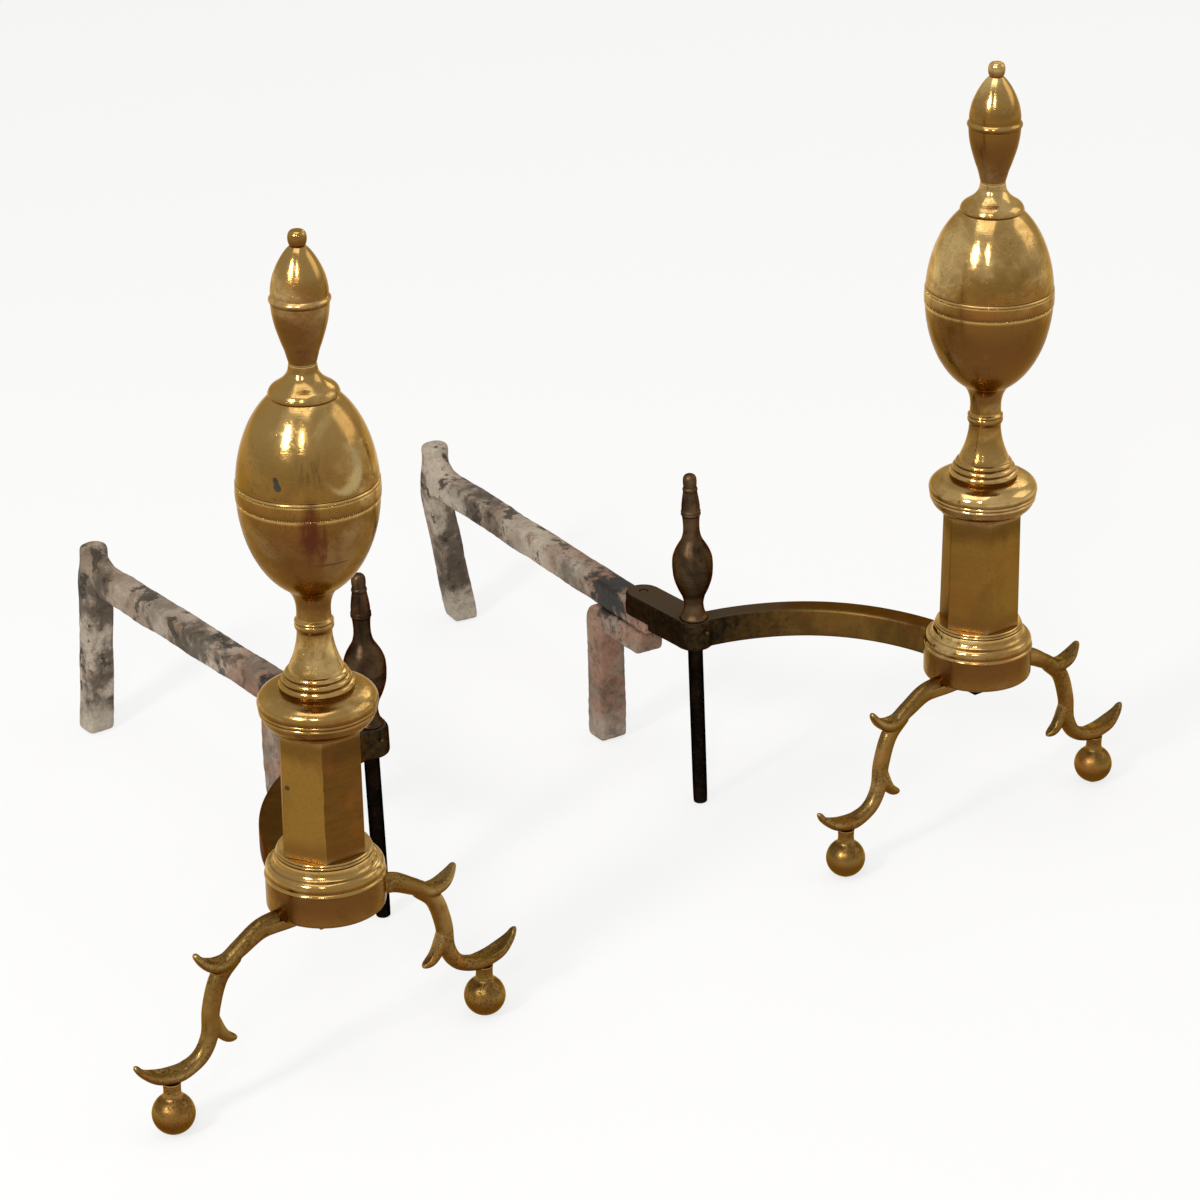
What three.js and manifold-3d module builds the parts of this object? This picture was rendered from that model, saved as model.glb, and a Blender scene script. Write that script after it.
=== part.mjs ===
// A mirrored pair of late eighteenth century brass andirons with wrought-iron log bars.
// Millimetres, +Z up. The fronts face -Y, the fire lies towards +Y, the floor is z = 0 and the
// origin is on the floor in the middle of the pair.
import * as THREE from 'three';
import { mergeVertices } from 'three/addons/utils/BufferGeometryUtils.js';
import Module from 'manifold-3d';

const wasm = await Module();
wasm.setup();

// ---- Driving dimensions -------------------------------------------------------------------

const pairSpacing = 541.5;       // between the axes of the two columns
const seat = 0.2;               // clearance between pieces that rest on each other
const fit = 0.3;                // clearance round pins, rods and cut joints
const castWall = 3;             // wall of the hollow castings

const roundSides = 20;          // facets round the large turned pieces
const smallSides = 16;          // facets round the small turned pieces
const stopSides = 12;           // facets round the log stop and its boss
const rodSides = 8;             // facets round rods and pins

// The column, from the drum up: the height of each turned piece and its radii.
const drumUnderside = 122.5;
const drumHeight = 36;
const drumRadius = 37.3;
const drumTopRadius = 30.6;
const drumTopPlate = 5;
const drumBeadProud = 0.6;
const collarHeight = 3.4;
const collarRadius = 30.3;
const shaftHeight = 82;
const shaftFootCorner = 28.5;   // axis to corner of the six-sided shaft, at its foot
const shaftHeadCorner = 27.7;
const shaftBore = 21;
const capitalHeight = 25.5;
const capitalRadius = 37;
const capitalFootRadius = 28.8;
const capitalTopRadius = 24;
const neckHeight = 67;
const neckFootRadius = 23.6;
const neckWaistRadius = 10.6;
const neckRingRadius = 12.3;
const neckRingHeight = 43;      // above the foot of the neck
const neckHeadRadius = 16.2;
const urnRadius = 43.1;
const urnRise = 67.8;           // half height of the whole egg, were it not cut short
const urnLowerHeight = 69;
const urnUpperHeight = 53;
const urnBandHeight = 10.5;
const urnBandProud = 0.5;
const urnSeamBelowTop = 7;      // the egg's widest level lies this far below the seam
const capHeight = 19;
const capFlangeRadius = 21.5;
const capThroatRadius = 8.3;
const finialHeight = 81.2;
const finialRadius = 18.4;
const finialWidestHeight = 40;  // above its foot
const topKnobRadius = 5.3;
const topKnobHeight = 9.6;

// The iron rod that threads the column together.
const tieRodRadius = 4;
const tieRodIntoFinial = 22;
const tieRodBelowNut = 1.5;
const clampPlateSide = 30;
const clampPlateThickness = 3;
const tieNutSide = 17;
const tieNutHeight = 5;

// The spurred legs. Every height here is above the floor, every reach is from the column axis.
const footReach = 117.5;
const ballRadius = 13.6;
const ballFlat = 4;             // radius of the worn flat under the ball
const stemRadius = 5.2;
const legUnderLeaf = 36;        // where the stem meets the underside of the toe leaf
const toeReach = 143;
const toeHeight = 55.5;
const legThickness = 10.4;
const legDepth = 9.6;
const legRootThickness = 15.5;
const legKneeThickness = 12.6;
const spurRootThickness = 11;
const tongueWidth = 11;
const tongueThickness = 7;
const tongueEnd = 10;           // reach of the tongue's inner end

// The curved brass arm with its corner boss and its lug.
const logLineInset = 133;       // log line, inwards of the column axis
const logStopBack = 149;        // log stop, behind the column axis
const armWidth = 17;
const armHeight = 21;
const armTop = 147;
const cornerRadius = 12.8;
const lugHalfWidth = 12.5;
const lugEndBack = 221;
const lapStartBack = 187;
const lapUnderside = 131;

// The log stop and the rod that it is screwed to.
const logStopHeight = 110.5;
const logStopRadius = 14.4;
const stopRodRadius = 5.3;
const stopRodIntoStop = 30;
const stopPinRadius = 2;
const stopPinLength = 13;

// The wrought iron: bar, front leg and rear leg. Its frame starts at the rivet in the lug.
const barSize = 20.5;
const barTop = 140.5;
const barDrop = 6;              // fall of the bar from the lug to the rear leg
const rivetBack = 208;
const rivetRadius = 3.2;
const tongueFront = 18;         // bar's lapped end, in front of the rivet
const frontLegSize = 22;
const frontLegBack = 55;        // centre of the front leg under its elbow, behind the rivet
const frontHeadReach = 11;      // blunt end of its head, in front of the rivet
const frontHeadThickness = 19;
const frontElbowRadius = 13;
const rearLegWidth = 21.5;
const rearLegDepth = 20.5;
const rearLegBack = 315;        // centre of the rear leg, behind the rivet
const tenonSize = 9;

// Hand work left the two andirons unlike. barTurn: how far the bar points outwards, in degrees.
// frontSplay, rearSplay: how far each iron foot stands outwards of the bar. frontRake: how far the
// front foot stands behind its elbow. rearTop: height of the rear leg's head. stopLean: how far the
// log stop leans outwards at its top, in degrees. armRoot: where the arm leaves the drum, outwards
// of the column axis.
const rightHandwork = {
  barTurn: 6.4, frontSplay: 10.5, frontRake: 15, rearSplay: 20, rearTop: 153, stopLean: -2.2, armRoot: -7,
};
const leftHandwork = {
  barTurn: -1, frontSplay: -6, frontRake: 8, rearSplay: 7.5, rearTop: 149, stopLean: 2.2, armRoot: 10,
};

// ---- Finishes -----------------------------------------------------------------------------

const agedBrass = new THREE.MeshStandardMaterial({ color: 0x9a7634, roughness: 0.3, metalness: 1 });
const armBrass = new THREE.MeshStandardMaterial({ color: 0x6b4c22, roughness: 0.42, metalness: 1 });
const smokedBrass = new THREE.MeshStandardMaterial({ color: 0x3a2818, roughness: 0.38, metalness: 1 });
const blackIron = new THREE.MeshStandardMaterial({ color: 0x1f1813, roughness: 0.6, metalness: 0.6 });
const forgedIron = new THREE.MeshStandardMaterial({ color: 0x8f7f6c, roughness: 0.75, metalness: 0.4 });

// ---- Solids -------------------------------------------------------------------------------

// Signed volume of a closed triangle mesh; negative when its faces point inwards.
function signedVolume(geometry) {
  const position = geometry.attributes.position;
  const index = geometry.index;
  const a = new THREE.Vector3();
  const b = new THREE.Vector3();
  const c = new THREE.Vector3();
  let volume = 0;
  for (let i = 0; i < index.count; i += 3) {
    a.fromBufferAttribute(position, index.getX(i));
    b.fromBufferAttribute(position, index.getX(i + 1));
    c.fromBufferAttribute(position, index.getX(i + 2));
    volume += a.dot(b.cross(c)) / 6;
  }
  return volume;
}

// Merges shared vertices and turns the faces outwards.
function closed(geometry) {
  geometry.deleteAttribute('normal');
  geometry.deleteAttribute('uv');
  const merged = mergeVertices(geometry, 1e-4);
  if (signedVolume(merged) < 0) {
    const index = merged.index;
    for (let i = 0; i < index.count; i += 3) {
      const first = index.getX(i);
      index.setX(i, index.getX(i + 2));
      index.setX(i + 2, first);
    }
  }
  return merged;
}

function toManifold(geometry) {
  const shell = closed(geometry);
  const vertProperties = new Float32Array(shell.attributes.position.array);
  const triVerts = new Uint32Array(shell.index.array);
  return new wasm.Manifold(new wasm.Mesh({ numProp: 3, vertProperties, triVerts }));
}

function toGeometry(manifold) {
  const mesh = manifold.getMesh();
  const geometry = new THREE.BufferGeometry();
  geometry.setAttribute('position', new THREE.BufferAttribute(new Float32Array(mesh.vertProperties), 3));
  geometry.setIndex(new THREE.BufferAttribute(new Uint32Array(mesh.triVerts), 1));
  return geometry;
}

function part(name, geometry, material, z = 0) {
  const mesh = new THREE.Mesh(geometry, material);
  mesh.name = name;
  mesh.position.z = z;
  return mesh;
}

// Revolves a profile, drawn as (radius, height), about the vertical axis.
function turned(profile, sides, curveSteps = 2) {
  const points = profile.getPoints(curveSteps);
  const geometry = new THREE.LatheGeometry(points, sides);
  geometry.rotateX(Math.PI / 2);
  return closed(geometry);
}

function block(width, depth, height, x, y, z) {
  const geometry = new THREE.BoxGeometry(width, depth, height);
  geometry.translate(x, y, z);
  return geometry;
}

// An upright cylinder standing at height z.
function post(radius, height, x, y, z, sides = rodSides) {
  const geometry = new THREE.CylinderGeometry(radius, radius, height, sides);
  geometry.rotateX(Math.PI / 2);
  geometry.translate(x, y, z + height / 2);
  return geometry;
}

// An upright cylinder for cutting a hole that a round pin of the given radius passes freely.
function hole(pinRadius, height, x, y, z) {
  return post((pinRadius + fit) / Math.cos(Math.PI / rodSides), height, x, y, z);
}

// One point of a rounded section: squareness 2 is an ellipse, larger values are squarer.
function sectionPoint(angle, squareness) {
  const c = Math.cos(angle);
  const s = Math.sin(angle);
  const power = 2 / squareness;
  return [Math.sign(c) * Math.abs(c) ** power, Math.sign(s) * Math.abs(s) ** power];
}

// A limb that follows a plane curve. across is the direction square to the curve's plane;
// halfWidth(t) lies in the plane and halfDepth(t) along across.
function limb(curve, across, halfWidth, halfDepth, { steps = 16, sides = 8, squareness = 2.6 } = {}) {
  const positions = [];
  const indices = [];
  const side = new THREE.Vector3();
  for (let i = 0; i <= steps; i += 1) {
    const t = i / steps;
    const centre = curve.getPoint(t);
    side.crossVectors(across, curve.getTangent(t)).normalize();
    for (let j = 0; j < sides; j += 1) {
      const [u, v] = sectionPoint(((j + 0.5) * 2 * Math.PI) / sides, squareness);
      const point = centre.clone();
      point.addScaledVector(side, u * halfWidth(t));
      point.addScaledVector(across, v * halfDepth(t));
      positions.push(point.x, point.y, point.z);
    }
  }
  const startCentre = positions.length / 3;
  const start = curve.getPoint(0);
  const end = curve.getPoint(1);
  positions.push(start.x, start.y, start.z, end.x, end.y, end.z);
  for (let i = 0; i < steps; i += 1) {
    for (let j = 0; j < sides; j += 1) {
      const a = i * sides + j;
      const b = i * sides + ((j + 1) % sides);
      indices.push(a, b, a + sides, b, b + sides, a + sides);
    }
  }
  for (let j = 0; j < sides; j += 1) {
    const next = (j + 1) % sides;
    indices.push(startCentre, next, j);
    indices.push(startCentre + 1, steps * sides + j, steps * sides + next);
  }
  const geometry = new THREE.BufferGeometry();
  geometry.setAttribute('position', new THREE.Float32BufferAttribute(positions, 3));
  geometry.setIndex(indices);
  return closed(geometry);
}

// ---- The column -----------------------------------------------------------------------------

const tieBore = tieRodRadius + fit;
const drumSeatRadius = drumRadius + drumBeadProud + fit;

// Hollow drum with a rounded lower edge, a fine bead, an ogee shoulder and a flat top.
function drum() {
  const beadHeight = drumHeight - 14.5;
  const shoulderHeight = drumHeight - 6.5;
  const shoulderRadius = (drumRadius + drumTopRadius) / 2;
  const inner = drumRadius - castWall;
  const profile = new THREE.Path();
  profile.moveTo(inner, 0);
  profile.lineTo(drumRadius - 2, 0);
  profile.quadraticCurveTo(drumRadius, 0, drumRadius, 3);
  profile.lineTo(drumRadius, beadHeight);
  profile.lineTo(drumRadius + drumBeadProud, beadHeight + 0.8);
  profile.lineTo(drumRadius - 0.6, beadHeight + 1.8);
  profile.lineTo(drumRadius - 0.2, beadHeight + 3.8);
  profile.quadraticCurveTo(drumRadius - 0.6, shoulderHeight - 1, shoulderRadius, shoulderHeight);
  profile.quadraticCurveTo(drumTopRadius, shoulderHeight + 1.4, drumTopRadius, drumHeight - 2);
  profile.lineTo(drumTopRadius, drumHeight);
  profile.lineTo(tieBore, drumHeight);
  profile.lineTo(tieBore, drumHeight - drumTopPlate);
  profile.lineTo(inner - castWall, drumHeight - drumTopPlate);
  profile.lineTo(inner, drumHeight - drumTopPlate - castWall);
  profile.lineTo(inner, 0);
  return turned(profile, roundSides);
}

// Two fine rings round the foot of the shaft.
function collar() {
  const half = collarHeight / 2;
  const profile = new THREE.Path();
  profile.moveTo(tieBore, 0);
  profile.lineTo(collarRadius, 0);
  profile.lineTo(collarRadius - 0.9, half);
  profile.lineTo(collarRadius - 0.8, collarHeight);
  profile.lineTo(tieBore, collarHeight);
  profile.lineTo(tieBore, 0);
  return turned(profile, roundSides);
}

// The six-sided shaft: a slightly tapering tube with one flat to the front.
function shaft() {
  const faces = 6;
  const outside = new THREE.CylinderGeometry(shaftHeadCorner, shaftFootCorner, shaftHeight, faces);
  outside.rotateX(Math.PI / 2);
  outside.rotateZ(Math.PI / faces);
  outside.translate(0, 0, shaftHeight / 2);
  const bore = post(shaftBore, shaftHeight + 2, 0, 0, -1, smallSides);
  return toGeometry(toManifold(outside).subtract(toManifold(bore)));
}

// The capital: a rounded underside, a double fillet, then a broad torus.
function capital() {
  const filletHeight = 13;
  const profile = new THREE.Path();
  profile.moveTo(tieBore, 0);
  profile.lineTo(capitalFootRadius, 0);
  profile.lineTo(capitalFootRadius + 0.4, 2.5);
  profile.quadraticCurveTo(capitalRadius - 2.6, 5, capitalRadius - 1.2, filletHeight - 3.2);
  profile.lineTo(capitalRadius - 0.2, filletHeight - 1.8);
  profile.lineTo(capitalRadius - 0.8, filletHeight);
  profile.lineTo(capitalRadius, filletHeight + 1.5);
  profile.lineTo(capitalRadius - 0.6, filletHeight + 3.2);
  profile.bezierCurveTo(capitalRadius, filletHeight + 6.5, capitalTopRadius + 7.5, capitalHeight - 2.5, capitalTopRadius, capitalHeight);
  profile.lineTo(tieBore, capitalHeight);
  profile.lineTo(tieBore, 0);
  return turned(profile, roundSides);
}

// The turned neck: ring, groove and bell at its foot, a waist with a pair of beads, a flared head.
function neck() {
  const bellTop = 18;
  const beadGap = 2;
  const profile = new THREE.Path();
  profile.moveTo(tieBore, 0);
  profile.lineTo(neckFootRadius - 0.4, 0);
  profile.quadraticCurveTo(neckFootRadius + 0.8, 3, neckFootRadius - 1, 6.2);
  profile.lineTo(neckFootRadius - 2.8, 7.4);
  profile.lineTo(neckFootRadius - 2.8, 9.6);
  profile.lineTo(neckFootRadius - 2.1, 10.6);
  profile.quadraticCurveTo(neckFootRadius - 2.1, 14.5, neckFootRadius - 5.6, bellTop - 0.6);
  profile.lineTo(neckFootRadius - 6.8, bellTop + 0.4);
  profile.bezierCurveTo(13, 22, neckWaistRadius, 27, neckWaistRadius, 33);
  profile.lineTo(neckWaistRadius, neckRingHeight - beadGap - 2.2);
  profile.quadraticCurveTo(neckRingRadius + 1.2, neckRingHeight - beadGap, neckRingRadius - 0.9, neckRingHeight);
  profile.quadraticCurveTo(neckRingRadius + 0.8, neckRingHeight + beadGap, neckWaistRadius, neckRingHeight + beadGap + 2);
  profile.lineTo(neckWaistRadius - 0.2, neckHeight - 15);
  profile.quadraticCurveTo(neckWaistRadius + 0.4, neckHeight - 4, neckHeadRadius, neckHeight);
  profile.lineTo(tieBore, neckHeight);
  profile.lineTo(tieBore, 0);
  return turned(profile, smallSides);
}

// Radius of the egg at a height above (or, negative, below) its widest level.
function eggRadius(height, radius = urnRadius, rise = urnRise) {
  return radius * Math.sqrt(Math.max(0, 1 - (height / rise) ** 2));
}

// Points on the egg between two heights, measured from its widest level.
function eggLine(profile, from, to, steps, radius, rise) {
  for (let i = 0; i <= steps; i += 1) {
    const angle = THREE.MathUtils.lerp(Math.asin(from / rise), Math.asin(to / rise), i / steps);
    const height = rise * Math.sin(angle);
    profile.lineTo(eggRadius(height, radius, rise), height);
  }
}

// Lower half of the urn: an open cup that carries the band round its rim.
function urnLower() {
  const foot = urnSeamBelowTop - urnLowerHeight;
  const bandFoot = urnSeamBelowTop - urnBandHeight;
  const inner = urnRadius - castWall;
  const innerRise = urnRise - castWall;
  const floor = foot + castWall * 2;
  const profile = new THREE.Path();
  profile.moveTo(tieBore, foot);
  eggLine(profile, foot, bandFoot - 0.5, 5, urnRadius, urnRise);
  profile.lineTo(eggRadius(bandFoot) - 0.5, bandFoot);
  profile.lineTo(eggRadius(bandFoot) + urnBandProud, bandFoot + 0.7);
  profile.lineTo(urnRadius + urnBandProud, 0);
  profile.lineTo(eggRadius(urnSeamBelowTop) + urnBandProud, urnSeamBelowTop - 1.6);
  profile.lineTo(eggRadius(urnSeamBelowTop), urnSeamBelowTop);
  profile.lineTo(eggRadius(urnSeamBelowTop, inner, innerRise), urnSeamBelowTop);
  eggLine(profile, 0, floor, 3, inner, innerRise);
  profile.lineTo(tieBore, floor);
  profile.lineTo(tieBore, foot);
  const geometry = turned(profile, roundSides, 1);
  geometry.translate(0, 0, -foot);
  return geometry;
}

// Upper half of the urn: a domed bell that closes on the cap.
function urnUpper() {
  const top = urnSeamBelowTop + urnUpperHeight;
  const inner = urnRadius - castWall;
  const innerRise = urnRise - castWall;
  const ceiling = top - castWall;
  const profile = new THREE.Path();
  profile.moveTo(eggRadius(urnSeamBelowTop, inner, innerRise), urnSeamBelowTop);
  profile.lineTo(eggRadius(urnSeamBelowTop) - 0.4, urnSeamBelowTop);
  profile.lineTo(eggRadius(urnSeamBelowTop) + 0.1, urnSeamBelowTop + 1);
  eggLine(profile, urnSeamBelowTop + 2, top, 5, urnRadius, urnRise);
  profile.lineTo(tieBore, top);
  profile.lineTo(tieBore, ceiling);
  eggLine(profile, ceiling, urnSeamBelowTop, 3, inner, innerRise);
  const geometry = turned(profile, roundSides, 1);
  geometry.translate(0, 0, -urnSeamBelowTop);
  return geometry;
}

// The cap: a thin-edged flange on the urn that sweeps up to a narrow throat.
function cap() {
  const profile = new THREE.Path();
  profile.moveTo(tieBore, 0);
  profile.lineTo(capFlangeRadius, 0);
  profile.lineTo(capFlangeRadius, 1.2);
  profile.quadraticCurveTo(capFlangeRadius - 0.5, 4, capFlangeRadius - 3.6, 5.6);
  profile.bezierCurveTo(capFlangeRadius - 8, 8.4, capThroatRadius + 0.2, 11.5, capThroatRadius, capHeight);
  profile.lineTo(tieBore, capHeight);
  profile.lineTo(tieBore, 0);
  return turned(profile, smallSides);
}

// The lemon finial with its banded middle and the round knob on top; its socket takes the tie rod.
function finial() {
  const domeTop = finialHeight - topKnobHeight;
  const socket = tieRodIntoFinial + 1;
  const profile = new THREE.Path();
  profile.moveTo(tieBore, 0);
  profile.lineTo(capThroatRadius, 0);
  profile.bezierCurveTo(10.5, 11, 16.6, 21, finialRadius - 0.9, finialWidestHeight - 3);
  profile.lineTo(finialRadius, finialWidestHeight - 1.8);
  profile.lineTo(finialRadius, finialWidestHeight + 0.8);
  profile.lineTo(finialRadius - 0.7, finialWidestHeight + 2);
  profile.bezierCurveTo(17.2, finialWidestHeight + 11, 12.6, domeTop - 6.7, topKnobRadius - 0.7, domeTop);
  profile.bezierCurveTo(topKnobRadius + 1, domeTop + 3.5, topKnobRadius + 1, finialHeight, 2, finialHeight);
  profile.lineTo(0, finialHeight);
  const outside = profile.getPoints(3);
  outside.push(new THREE.Vector2(0, socket), new THREE.Vector2(tieBore, socket), outside[0].clone());
  const geometry = new THREE.LatheGeometry(outside, smallSides);
  geometry.rotateX(Math.PI / 2);
  return closed(geometry);
}

// Square nut and the clamping plate that draw the legs and the column together.
function squareWashered(side, height) {
  const plate = toManifold(block(side, side, height, 0, 0, height / 2));
  return toGeometry(plate.subtract(toManifold(hole(tieRodRadius, height + 2, 0, 0, -1))));
}

// ---- The legs ---------------------------------------------------------------------------------

const across = new THREE.Vector3(0, 1, 0);
const inPlane = (reach, height) => new THREE.Vector3(reach, 0, height);

// A point of the leg: its reach as a share of the foot's, its height as a share of the drum's.
const onLeg = (reach, height) => inPlane(reach * footReach, height * drumUnderside);

// Half the thickness of a limb that narrows steadily, then runs out to a thin tip after tipStart.
function runningOut(root, body, tip, tipStart) {
  return (t) => (t < tipStart
    ? THREE.MathUtils.lerp(root, body, (t / tipStart) ** 1.4) / 2
    : (tip + (body - tip) * Math.sqrt(1 - ((t - tipStart) / (1 - tipStart)) ** 1.6)) / 2);
}

// One spurred leg, reaching along +X. It is the sum of a shoulder that ends in the knee spur, a
// shank that turns out into the toe leaf, and a small spur behind the ankle.
function leg() {
  const tip = 0.9;
  const shoulderCurve = new THREE.CatmullRomCurve3([
    onLeg(0.25, 0.984),
    onLeg(0.41, 0.974),
    onLeg(0.545, 0.908),
    onLeg(0.647, 0.857),
    onLeg(0.74, 0.874),
    onLeg(0.825, 0.959),
  ]);
  const shoulderHalf = runningOut(legRootThickness, legThickness, tip, 0.6);
  const shoulderDepth = runningOut(legDepth, legDepth, tip, 0.6);

  const leafHeight = legUnderLeaf + 0.4 * legThickness;
  const shankCurve = new THREE.CatmullRomCurve3([
    onLeg(0.585, 0.88),
    onLeg(0.683, 0.782),
    onLeg(0.739, 0.624),
    onLeg(0.757, 0.478),
    onLeg(0.823, 0.373),
    inPlane(footReach * 0.942, leafHeight),
    inPlane(footReach * 1.075, leafHeight + 0.2 * legThickness),
    inPlane(toeReach, toeHeight),
  ]);
  const shankHalf = runningOut(legKneeThickness, legThickness, tip, 0.66);
  const shankDepth = runningOut(legDepth, legDepth, tip, 0.66);

  const spurCurve = new THREE.CatmullRomCurve3([
    onLeg(0.737, 0.56),
    onLeg(0.694, 0.482),
    onLeg(0.654, 0.436),
    onLeg(0.594, 0.41),
  ]);
  const spurHalf = (t) => THREE.MathUtils.lerp(spurRootThickness, 3, t) / 2;

  const shoulder = toManifold(limb(shoulderCurve, across, shoulderHalf, shoulderDepth, { steps: 8 }));
  const shank = toManifold(limb(shankCurve, across, shankHalf, shankDepth, { steps: 13 }));
  const spur = toManifold(limb(spurCurve, across, spurHalf, spurHalf, { steps: 3, sides: 6, squareness: 2 }));
  const tongueLength = 0.4 * footReach - tongueEnd;
  const tongue = toManifold(block(
    tongueLength, tongueWidth, tongueThickness,
    tongueEnd + tongueLength / 2, 0, drumUnderside - seat - tongueThickness / 2,
  ));
  const drumSeat = toManifold(post(drumSeatRadius, 30, 0, 0, drumUnderside - seat, 2 * roundSides));
  const stemSeat = toManifold(block(16, 20, 8, footReach, 0, legUnderLeaf - 4));
  return toGeometry(shoulder.add(shank).add(spur).add(tongue).subtract(drumSeat).subtract(stemSeat));
}

// A ball foot on its short stem, turned in one.
function ballFoot() {
  const top = legUnderLeaf - seat;
  const profile = new THREE.Path();
  profile.moveTo(0, 0);
  profile.lineTo(ballFlat, 0);
  profile.absarc(0, ballRadius, ballRadius, -Math.acos(0.32), Math.acos(0.5), false);
  profile.quadraticCurveTo(stemRadius, ballRadius * 1.95, stemRadius, ballRadius * 2.15);
  profile.lineTo(stemRadius, top - 3);
  profile.lineTo(stemRadius + 1, top);
  profile.lineTo(0, top);
  return turned(profile, 12);
}

// ---- The arm and the log stop ------------------------------------------------------------------

const stopX = -logLineInset;
const armBottom = armTop - armHeight;
const stopFootRadius = 9.8;

// Leans a piece that stands round the log stop's axis, about the middle of the corner boss.
function leant(geometry, lean) {
  const middle = (armTop + armBottom) / 2;
  geometry.translate(0, 0, -middle);
  geometry.rotateY(THREE.MathUtils.degToRad(lean));
  geometry.translate(stopX, logStopBack, middle);
  return geometry;
}

// The arm leaves the back of the drum, curves inwards to the corner boss under the log stop, and
// runs on behind it as a round-ended lug that laps the iron.
function arm(lean, root) {
  const up = new THREE.Vector3(0, 0, 1);
  const middle = (armTop + armBottom) / 2;
  const curve = new THREE.CubicBezierCurve3(
    new THREE.Vector3(root, drumRadius - 10, middle),
    new THREE.Vector3(root + 0.09 * stopX, 0.61 * logStopBack, middle),
    new THREE.Vector3(0.425 * stopX, 0.905 * logStopBack, middle),
    new THREE.Vector3(stopX, logStopBack, middle),
  );
  const half = armWidth / 2;
  const bend = toManifold(limb(curve, up, () => half, () => armHeight / 2, { steps: 10, sides: 8, squareness: 7 }));

  const boss = new THREE.Path();
  boss.moveTo(0, armBottom);
  boss.lineTo(cornerRadius - 1.5, armBottom);
  boss.lineTo(cornerRadius, armBottom + 1.5);
  boss.lineTo(cornerRadius, armTop - 4);
  boss.quadraticCurveTo(cornerRadius, armTop, cornerRadius - 4, armTop);
  boss.lineTo(0, armTop);
  const corner = leant(turned(boss, stopSides), lean);

  const lugShape = new THREE.Shape();
  lugShape.moveTo(stopX - lugHalfWidth, logStopBack);
  lugShape.lineTo(stopX + lugHalfWidth, logStopBack);
  lugShape.lineTo(stopX + lugHalfWidth, lugEndBack - lugHalfWidth);
  lugShape.absarc(stopX, lugEndBack - lugHalfWidth, lugHalfWidth, 0, Math.PI, false);
  lugShape.lineTo(stopX - lugHalfWidth, logStopBack);
  const bevel = 1.6;
  const lug = new THREE.ExtrudeGeometry(lugShape, {
    depth: armHeight - 2 * bevel, bevelThickness: bevel, bevelSize: bevel, bevelOffset: -bevel,
    bevelSegments: 1, curveSegments: 8,
  });
  lug.translate(0, 0, armBottom + bevel);

  // The underside rises in a slope and a step where the iron lies under the lug.
  const relief = new THREE.Shape();
  relief.moveTo(lapStartBack - 26, armBottom - 1);
  relief.lineTo(lapStartBack - 26, armBottom);
  relief.lineTo(lapStartBack, armBottom + 2.6);
  relief.lineTo(lapStartBack, lapUnderside);
  relief.lineTo(lugEndBack + 2, lapUnderside);
  relief.lineTo(lugEndBack + 2, armBottom - 1);
  const reliefCut = new THREE.ExtrudeGeometry(relief, { depth: 40, bevelEnabled: false });
  reliefCut.rotateX(Math.PI / 2);
  reliefCut.rotateZ(Math.PI / 2);
  reliefCut.translate(stopX - 20, 0, 0);

  const spotFace = post(stopFootRadius + 2 * fit, armHeight, 0, 0, armTop, stopSides);
  const cuts = [
    reliefCut,
    leant(hole(stopRodRadius, armHeight + 4, 0, 0, armBottom - 2), lean),
    leant(spotFace, lean),
    leant(crossPin(stopPinRadius + fit, 30, 20), lean),
    hole(rivetRadius, 40, stopX, rivetBack, armBottom - 2),
    post(drumSeatRadius, 60, 0, 0, armBottom - 20, 2 * roundSides),
  ];
  let body = bend.add(toManifold(corner)).add(toManifold(lug));
  for (const cut of cuts) {
    body = body.subtract(toManifold(cut));
  }
  return toGeometry(body);
}

// The little turned log stop, like the column in small: foot, body, banded neck and knob.
function logStop(lean) {
  const r = logStopRadius;
  const h = logStopHeight;
  const bore = stopRodRadius + fit;
  const profile = new THREE.Path();
  profile.moveTo(bore, 0);
  profile.lineTo(stopFootRadius - 0.2, 0);
  profile.lineTo(stopFootRadius, 1.6);
  profile.quadraticCurveTo(6.8, 5, 6.8, 12);
  profile.bezierCurveTo(7.2, 20, r - 0.4, 24, r - 0.2, h * 0.345);
  profile.lineTo(r - 0.7, h * 0.355);
  profile.lineTo(r, h * 0.37);
  profile.bezierCurveTo(r + 0.4, h * 0.46, r * 0.7, h * 0.51, r * 0.53, h * 0.545);
  profile.lineTo(r * 0.48, h * 0.56);
  profile.quadraticCurveTo(r * 0.38, h * 0.64, r * 0.44, h * 0.715);
  profile.lineTo(r * 0.49, h * 0.735);
  profile.quadraticCurveTo(r * 0.44, h * 0.83, r * 0.33, h * 0.885);
  profile.lineTo(r * 0.35, h * 0.9);
  profile.lineTo(r * 0.3, h * 0.915);
  profile.quadraticCurveTo(r * 0.38, h * 0.95, r * 0.29, h - 2.4);
  profile.quadraticCurveTo(r * 0.2, h, 0, h);
  const outline = profile.getPoints(2);
  outline.push(new THREE.Vector2(0, stopRodIntoStop + 1), new THREE.Vector2(bore, stopRodIntoStop + 1));
  outline.push(outline[0].clone());
  const geometry = new THREE.LatheGeometry(outline, stopSides);
  geometry.rotateX(Math.PI / 2);
  geometry.translate(0, 0, armTop + seat);
  return leant(closed(geometry), lean);
}

// A pin across the rod's axis near the top of the boss, reaching forward to the given distance.
function crossPin(radius, length, reach) {
  const geometry = new THREE.CylinderGeometry(radius, radius, length, rodSides);
  geometry.translate(0, length / 2 - reach, armTop - 7);
  return geometry;
}

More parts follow.
